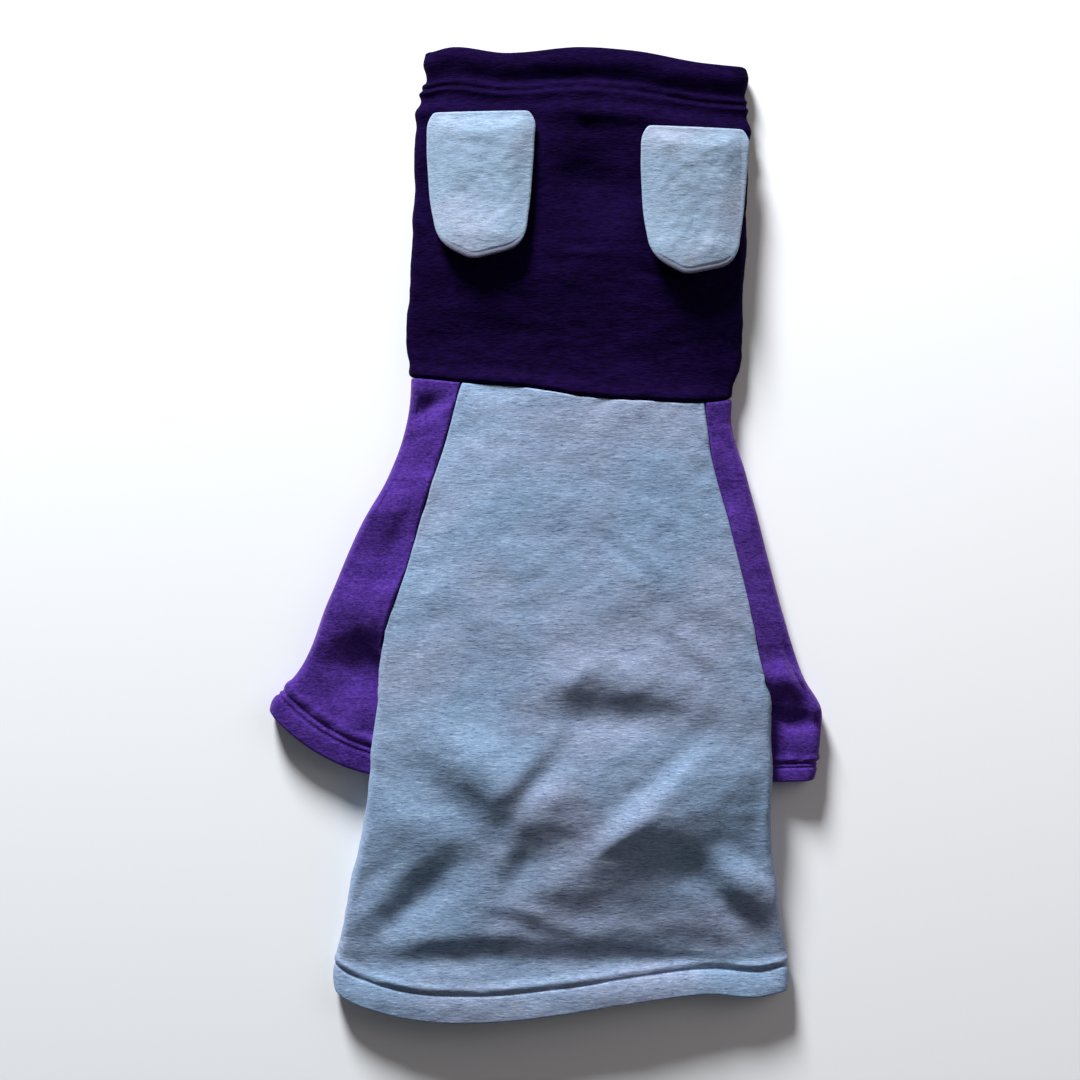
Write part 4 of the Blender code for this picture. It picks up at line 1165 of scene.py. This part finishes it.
def ear_outline():
    """An ear's outline once round, from its top middle, with its corners eased."""
    along = np.linspace(0, 1, 60)
    right = np.column_stack([EAR_WIDTH * read_curve(EAR_OUTLINE, 2, along), -along * EAR_LENGTH])
    left = np.column_stack([-EAR_WIDTH * read_curve(EAR_OUTLINE, 1, along), -along * EAR_LENGTH])
    top_middle = np.zeros((1, 2))
    once_round = np.concatenate([top_middle, right, left[::-1], top_middle])
    outline = split(once_round, EAR_AROUND)[:-1]
    for _ in range(EAR_EASING):
        outline = (np.roll(outline, 1, axis=0) + 2 * outline + np.roll(outline, -1, axis=0)) / 4
    return outline


def ear(name, along, across, turn):
    """A padded ear: two layers turned out round their seam, its tip lifted off the hood."""
    angle = math.radians(turn)
    outline = ear_outline()
    spine_top, spine_end = [-share * EAR_LENGTH for share in EAR_SPINE]
    spine_y = np.clip(outline[:, 1], spine_end, spine_top)
    spine = np.column_stack([0 * spine_y, spine_y])
    rings = 1 - np.linspace(0, 0.99, EAR_RINGS) ** 1.7
    flat = spine + (outline - spine) * rings[:, None, None]
    reach = np.linalg.norm(outline - spine, axis=1) * (1 - rings[:, None])
    down = -flat[..., 1] / EAR_LENGTH
    round_in = np.sqrt(1 - (1 - np.clip(reach / EAR_RIM, 0, 1)) ** 2)
    puff = ease(reach / EAR_PUFF_FROM) ** 0.8
    half = EAR_EDGE / 2 * round_in + (EAR_THICKNESS - EAR_EDGE) / 2 * puff
    x = across * HOOD_WIDTH + flat[..., 0] * math.cos(angle) - flat[..., 1] * math.sin(angle)
    y = along * HOOD_LENGTH + flat[..., 0] * math.sin(angle) + flat[..., 1] * math.cos(angle)
    bed = hood_height(x, hood_share(x, y))
    lift = EAR_TIP_LIFT * np.clip(down, 0, 1) ** 3
    middle = bed + EAR_GAP + EAR_BED + EAR_THICKNESS / 2 + lift - EAR_RIM_DROP * (1 - puff)
    place = np.stack([x, y, middle], axis=-1)
    soft = EAR_LUMPS * waves(place, (0.020, 0.020, 0.020), 12.0)
    soft += EAR_FINE_LUMPS * waves(place, (0.007, 0.007, 0.007), 15.0)
    shown = ease((down - 0.80) / 0.12)
    seam = EAR_SEAM_DEPTH * shown * ridge(reach, EAR_SEAM_IN * shown, 0.0009)
    sewn_down = 0.0005 * ridge(down * EAR_LENGTH, 0.004, 0.004)
    up = np.array([0.0, 0.0, 1.0])
    top = place + up * (half + soft * puff - seam - sewn_down)[..., None]
    under = place - up * (0.9 * half)[..., None]

    count = EAR_RINGS * EAR_AROUND
    upper = np.arange(count).reshape(EAR_RINGS, EAR_AROUND)
    lower = np.concatenate([upper[:1], upper[1:] + count - EAR_AROUND])
    faces = []
    for layer, order in ((upper, -1), (lower, 1)):
        beside = np.roll(layer, -1, axis=1)
        squares = np.stack([layer[:-1], beside[:-1], beside[1:], layer[1:]], axis=-1)
        faces += squares.reshape(-1, 4)[:, ::order].tolist()
        across_spine = [
            (step, step + 1, EAR_AROUND - 1 - step, (EAR_AROUND - step) % EAR_AROUND)
            for step in range(1, EAR_AROUND // 2 - 1)
        ]
        faces += layer[-1][np.array(across_spine)][:, ::order].tolist()
        tip = EAR_AROUND // 2
        for ends in ((EAR_AROUND - 1, 0, 1), (tip - 1, tip, tip + 1)):
            faces.append(layer[-1][list(ends)][::order].tolist())
    points = np.concatenate([top.reshape(-1, 3), under[1:].reshape(-1, 3)]) + PLACE
    piece = object_of(name + "_padded", points, faces)
    # Mask of the underside layer and of its sliver along the lower rim, where the marl paints a dark
    # colour as shade
    turned = np.ones(len(points), np.float32)
    rim = shown * (1 - ease((reach - EAR_SEAM_IN * shown) / 0.0006 + 0.5))
    turned[:count] = rim.reshape(-1)
    piece.data.attributes.new("underside", "FLOAT", "POINT").data.foreach_set("value", turned)
    return piece


def rows_of_stitches(name, lines, finish):
    """Threads along lines on the cloth, one short thread to each stitch."""
    points, edges = [], []
    for line in lines:
        start = len(points)
        points += line.tolist()
        edges += [(start + i, start + i + 1) for i in range(len(line) - 1)]
    mesh = bpy.data.meshes.new(name)
    mesh.from_pydata(points, edges, [])
    holder = bpy.data.objects.new(name, mesh)
    bpy.context.scene.collection.objects.link(holder)
    modifier = holder.modifiers.new("stitches", "NODES")
    modifier.node_group = stitch_tree()
    values = {"Pitch": STITCH_PITCH, "Length": STITCH_LENGTH, "Thread": THREAD, "Finish": finish}
    for item in modifier.node_group.interface.items_tree:
        if item.name in values:
            modifier[item.identifier] = values[item.name]
    holder.update_tag()
    bpy.context.view_layer.update()
    found = holder.evaluated_get(bpy.context.evaluated_depsgraph_get())
    made = bpy.data.meshes.new_from_object(found)
    holder.modifiers.remove(modifier)
    holder.data = made
    made.name = name
    made.polygons.foreach_set("use_smooth", np.ones(len(made.polygons), bool))
    return holder


def stitch_tree():
    """Geometry nodes that lay one short thread on every pitch of a line."""
    tree = bpy.data.node_groups.get("row_of_stitches")
    if tree:
        return tree
    tree = bpy.data.node_groups.new("row_of_stitches", "GeometryNodeTree")
    face = tree.interface
    face.new_socket("Line", in_out="INPUT", socket_type="NodeSocketGeometry")
    for name in ("Pitch", "Length", "Thread"):
        face.new_socket(name, in_out="INPUT", socket_type="NodeSocketFloat")
    face.new_socket("Finish", in_out="INPUT", socket_type="NodeSocketMaterial")
    face.new_socket("Stitches", in_out="OUTPUT", socket_type="NodeSocketGeometry")
    given = tree.nodes.new("NodeGroupInput")

    def add(kind, links, output=0, **settings):
        node = tree.nodes.new(kind)
        for name, setting in settings.items():
            setattr(node, name, setting)
        for name, value in links.items():
            if isinstance(value, bpy.types.NodeSocket):
                tree.links.new(value, node.inputs[name])
            else:
                node.inputs[name].default_value = value
        return node.outputs[output]

    curve = add("GeometryNodeMeshToCurve", {"Mesh": given.outputs["Line"]})
    spaced = add(
        "GeometryNodeResampleCurve",
        {"Curve": curve, "Length": given.outputs["Pitch"]},
        mode="LENGTH",
    )
    along = add("GeometryNodeInputTangent", {})
    turn = add("FunctionNodeAlignRotationToVector", {"Vector": along}, axis="X")
    size = add(
        "ShaderNodeCombineXYZ",
        {"X": given.outputs["Length"], "Y": given.outputs["Thread"], "Z": given.outputs["Thread"]},
    )
    thread = add("GeometryNodeMeshUVSphere", {"Segments": 8, "Rings": 5, "Radius": 0.5})
    laid = add(
        "GeometryNodeInstanceOnPoints",
        {"Points": spaced, "Instance": thread, "Rotation": turn, "Scale": size},
    )
    real = add("GeometryNodeRealizeInstances", {"Geometry": laid})
    finished = add(
        "GeometryNodeSetMaterial", {"Geometry": real, "Material": given.outputs["Finish"]}
    )
    out = tree.nodes.new("NodeGroupOutput")
    tree.links.new(finished, out.inputs["Stitches"])
    return tree


class Look:
    """A number, colour or direction inside a material, which sums and nodes can use."""

    def __init__(self, tree, socket):
        self.tree = tree
        self.socket = socket

    def through(self, kind, inputs, output=0, **settings):
        """What a node makes of its inputs, which are numbers, colours or other looks."""
        node = self.tree.nodes.new(kind)
        for name, setting in settings.items():
            setattr(node, name, setting)
        for name, value in inputs.items():
            if isinstance(value, Look):
                self.tree.links.new(value.socket, node.inputs[name])
            else:
                node.inputs[name].default_value = value
        return Look(self.tree, node.outputs[output])

    def sum_with(self, operation, first, second=0.0):
        return self.through("ShaderNodeMath", {0: first, 1: second}, operation=operation)

    def __add__(self, other):
        return self.sum_with("ADD", self, other)

    __radd__ = __add__

    def __sub__(self, other):
        return self.sum_with("SUBTRACT", self, other)

    def __rsub__(self, other):
        return self.sum_with("SUBTRACT", other, self)

    def __mul__(self, other):
        return self.sum_with("MULTIPLY", self, other)

    __rmul__ = __mul__

    def step(self, low, high):
        """A smooth step from 0 to 1 as this goes from low to high."""
        edges = {"Value": self, "From Min": low, "From Max": high}
        return self.through("ShaderNodeMapRange", edges, interpolation_type="SMOOTHSTEP")

    def stretched(self, sizes):
        """This place measured in lumps of these sizes along X, Y and Z."""
        scale = tuple(1 / size for size in sizes)
        return self.through("ShaderNodeVectorMath", {0: self, 1: scale}, operation="MULTIPLY")


def noise_of(place, sizes, detail=2.0, roughness=0.55, warp=0.0):
    """Unevenness from 0 to 1 at a place, in lumps of these sizes."""
    inputs = {
        "Vector": place.stretched(sizes),
        "Scale": 1.0,
        "Detail": detail,
        "Roughness": roughness,
        "Distortion": warp,
    }
    return place.through("ShaderNodeTexNoise", inputs)


def blend_of(share, first, second):
    """A colour from first (0) to second (1)."""
    first, second = [c if isinstance(c, Look) else (*c, 1.0) for c in (first, second)]
    return share.through("ShaderNodeMix", {0: share, 6: first, 7: second}, 2, data_type="RGBA")


def bumped(height, depth, strength=1.0, under=None):
    """Normals of a surface with this relief, whose full height is depth in metres."""
    inputs = {"Height": height, "Distance": depth, "Strength": strength}
    if under:
        inputs["Normal"] = under
    return height.through("ShaderNodeBump", inputs)


def new_finish(name):
    """A material, its shader and the place on the object that it is worked out from."""
    finish = bpy.data.materials.new(name)
    finish.use_nodes = True
    tree = finish.node_tree
    shader = tree.nodes["Principled BSDF"]
    place = Look(tree, tree.nodes.new("ShaderNodeTexCoord").outputs["Object"])
    return finish, shader, place


def put(shader, **looks):
    """Sets the shader's inputs, given by name with _ for a space."""
    for name, value in looks.items():
        socket = shader.inputs[name.replace("_", " ")]
        if isinstance(value, Look):
            value.tree.links.new(value.socket, socket)
        else:
            socket.default_value = value


def marl(name, ground, dark, light, underside=None):
    """Marl sweatshirt cloth: pale and dark fibres drawn out along the knitted rows."""
    finish, shader, place = new_finish(name)
    long_flecks = noise_of(place, (0.0085, 0.0009, 0.0020), 3.0, 0.6, 0.4)
    short_flecks = noise_of(place, (0.0034, 0.0006, 0.0014), 2.0, 0.6, 0.6)
    patches = noise_of(place, (0.030, 0.012, 0.020), 2.0, 0.5)
    shade = (long_flecks + short_flecks) * 0.5 + (patches - 0.5) * 0.10
    colour = blend_of(shade.step(0.53, 0.62), ground, light)
    colour = blend_of(shade.step(0.37, 0.47), dark, colour)
    drift = noise_of(place, (0.16, 0.11, 0.16), 2.0, 0.55, 0.4)
    tint = blend_of(drift.step(0.36, 0.64), (0.88, 1.00, 1.04), (1.07, 0.99, 1.00))
    colour = colour.through(
        "ShaderNodeMix", {0: 1.0, 6: colour, 7: tint}, 2, data_type="RGBA", blend_type="MULTIPLY"
    )
    # Where the ear's underside shows along its lower rim, its colour is painted dark as shade
    if underside:
        underside_shade = place.through("ShaderNodeAttribute", {}, 2, attribute_name="underside")
        back = blend_of(short_flecks.step(0.4, 0.6), underside, [c * 1.25 for c in underside])
        colour = blend_of(underside_shade, colour, back)
    wales = place.through(
        "ShaderNodeTexWave",
        {
            "Vector": place.stretched((0.00115, 0.0022, 0.00115)),
            "Scale": 0.5,
            "Distortion": 1.6,
            "Detail": 1.0,
            "Detail Scale": 1.0,
        },
        1,
        bands_direction="X",
    )
    fuzz = noise_of(place, (0.0008, 0.0005, 0.0008), 2.0, 0.6)
    loops = bumped(wales * 0.4 + fuzz * 0.6, 0.0004, 0.7)
    knit = bumped(noise_of(place, (0.0060, 0.0022, 0.0040), 2.0), 0.0006, 0.6, loops)
    put(shader, Base_Color=colour, Roughness=fuzz * 0.12 + 0.84, Normal=knit)
    put(shader, Sheen_Weight=0.18, Sheen_Roughness=0.6, Sheen_Tint=(0.75, 0.82, 1.0, 1.0))
    put(shader, Specular_IOR_Level=0.15)
    return finish


def fleece(name, ground, tips, sheen, sheen_tint, stretch):
    """Brushed fleece: short soft nap lying across the garment, paler at its tips."""
    finish, shader, place = new_finish(name)
    nap = noise_of(place, (0.0032 * stretch, 0.0018, 0.0026), 3.0, 0.60, 0.3)
    fibres = noise_of(place, (0.0022 * stretch, 0.0006, 0.0012), 2.0, 0.65, 0.5)
    lay = noise_of(place, (0.040, 0.016, 0.030), 2.0, 0.5, 0.5)
    height = nap * 0.6 + fibres * 0.4
    shade = height * 0.75 + lay * 0.25
    colour = blend_of(shade.step(0.30, 0.76), ground, tips)
    pile = bumped(height, 0.0020, 0.55)
    brushed = bumped(lay, 0.0035, 0.5, pile)
    put(shader, Base_Color=colour, Roughness=height * 0.15 + 0.80, Normal=brushed)
    put(shader, Sheen_Weight=sheen, Sheen_Roughness=0.45, Sheen_Tint=(*sheen_tint, 1.0))
    put(shader, Specular_IOR_Level=0.02)
    return finish


def thread(name, colour):
    """Twisted sewing thread."""
    finish, shader, place = new_finish(name)
    twist = noise_of(place, (0.0006, 0.0003, 0.0003), 1.0)
    paler = [1.35 * c for c in colour]
    put(shader, Base_Color=blend_of(twist, colour, paler), Roughness=twist * 0.2 + 0.5)
    put(shader, Sheen_Weight=0.02, Normal=bumped(twist, 0.0002, 0.5))
    put(shader, Specular_IOR_Level=0.05)
    return finish


def studio():
    """A pale floor, soft light from the hood's end and a camera straight overhead."""
    half = FLOOR_HALF
    corners = [(-half, -half, 0), (half, -half, 0), (half, half, 0), (-half, half, 0)]
    floor = object_of("floor", corners, [(0, 1, 2, 3)])
    paper = bpy.data.materials.new("pale_paper")
    paper.use_nodes = True
    put(paper.node_tree.nodes["Principled BSDF"], Base_Color=(0.96, 0.96, 0.97, 1), Roughness=0.9)
    floor.data.materials.append(paper)
    for name, place, size, power, colour in LAMPS:
        lamp = bpy.data.lights.new(name, "AREA")
        lamp.shape = "DISK"
        lamp.size = size
        lamp.energy = power
        lamp.color = colour
        holder = bpy.data.objects.new(name, lamp)
        holder.location = place
        holder.rotation_euler = (-Vector(place)).to_track_quat("-Z", "Y").to_euler()
        bpy.context.scene.collection.objects.link(holder)
    world = bpy.data.worlds.new("room")
    world.use_nodes = True
    room = world.node_tree.nodes["Background"]
    room.inputs["Color"].default_value = (0.95, 0.97, 1.0, 1.0)
    room.inputs["Strength"].default_value = ROOM_LIGHT
    bpy.context.scene.world = world
    lens = bpy.data.cameras.new("overhead")
    lens.sensor_width = FILM_WIDTH
    lens.lens = FILM_WIDTH * CAMERA_HEIGHT / PHOTO_WIDTH
    eye = bpy.data.objects.new("overhead", lens)
    eye.location = (*PHOTO_MIDDLE, CAMERA_HEIGHT)
    bpy.context.scene.collection.objects.link(eye)
    bpy.context.scene.camera = eye
    bpy.context.scene.view_settings.view_transform = "Standard"


def main():
    grey = marl("marl_sweatshirt", *SWEATSHIRT_SHADES)
    ear_grey = marl("marl_ears", *EAR_SHADES, underside=EAR_UNDERSIDE_SHADE)
    purple = fleece("sleeve_fleece", *SLEEVE_PILE)
    dark_purple = fleece("hood_fleece", *HOOD_PILE)
    grey_thread = thread("grey_thread", (0.20, 0.25, 0.37))
    purple_thread = thread("purple_thread", (0.060, 0.028, 0.20))
    dark_thread = thread("dark_thread", (0.005, 0.002, 0.018))

    pieces = [
        ("back_panel", *back(), grey, grey_thread, "sweatshirt"),
        ("belly_panel", *belly(), grey, grey_thread, "sweatshirt"),
        ("hood", *hood(), dark_purple, dark_thread, "hood_fleece"),
        ("sleeve_left", *raglan(SLEEVES[LEFT]), purple, purple_thread, "sleeve_fleece"),
        ("sleeve_right", *raglan(SLEEVES[RIGHT]), purple, purple_thread, "sleeve_fleece"),
    ]
    for node, piece, lines, finish, sewing, slot in pieces:
        piece.data.materials.append(finish)
        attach(piece, "root")
        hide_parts(node)
        stitches = rows_of_stitches(node + "_stitches", lines, sewing)
        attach(stitches, "root")
    for place in EAR_PLACES:
        piece = ear(*place)
        piece.data.materials.append(ear_grey)
        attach(piece, "root")
        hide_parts(place[0])
    studio()


main()
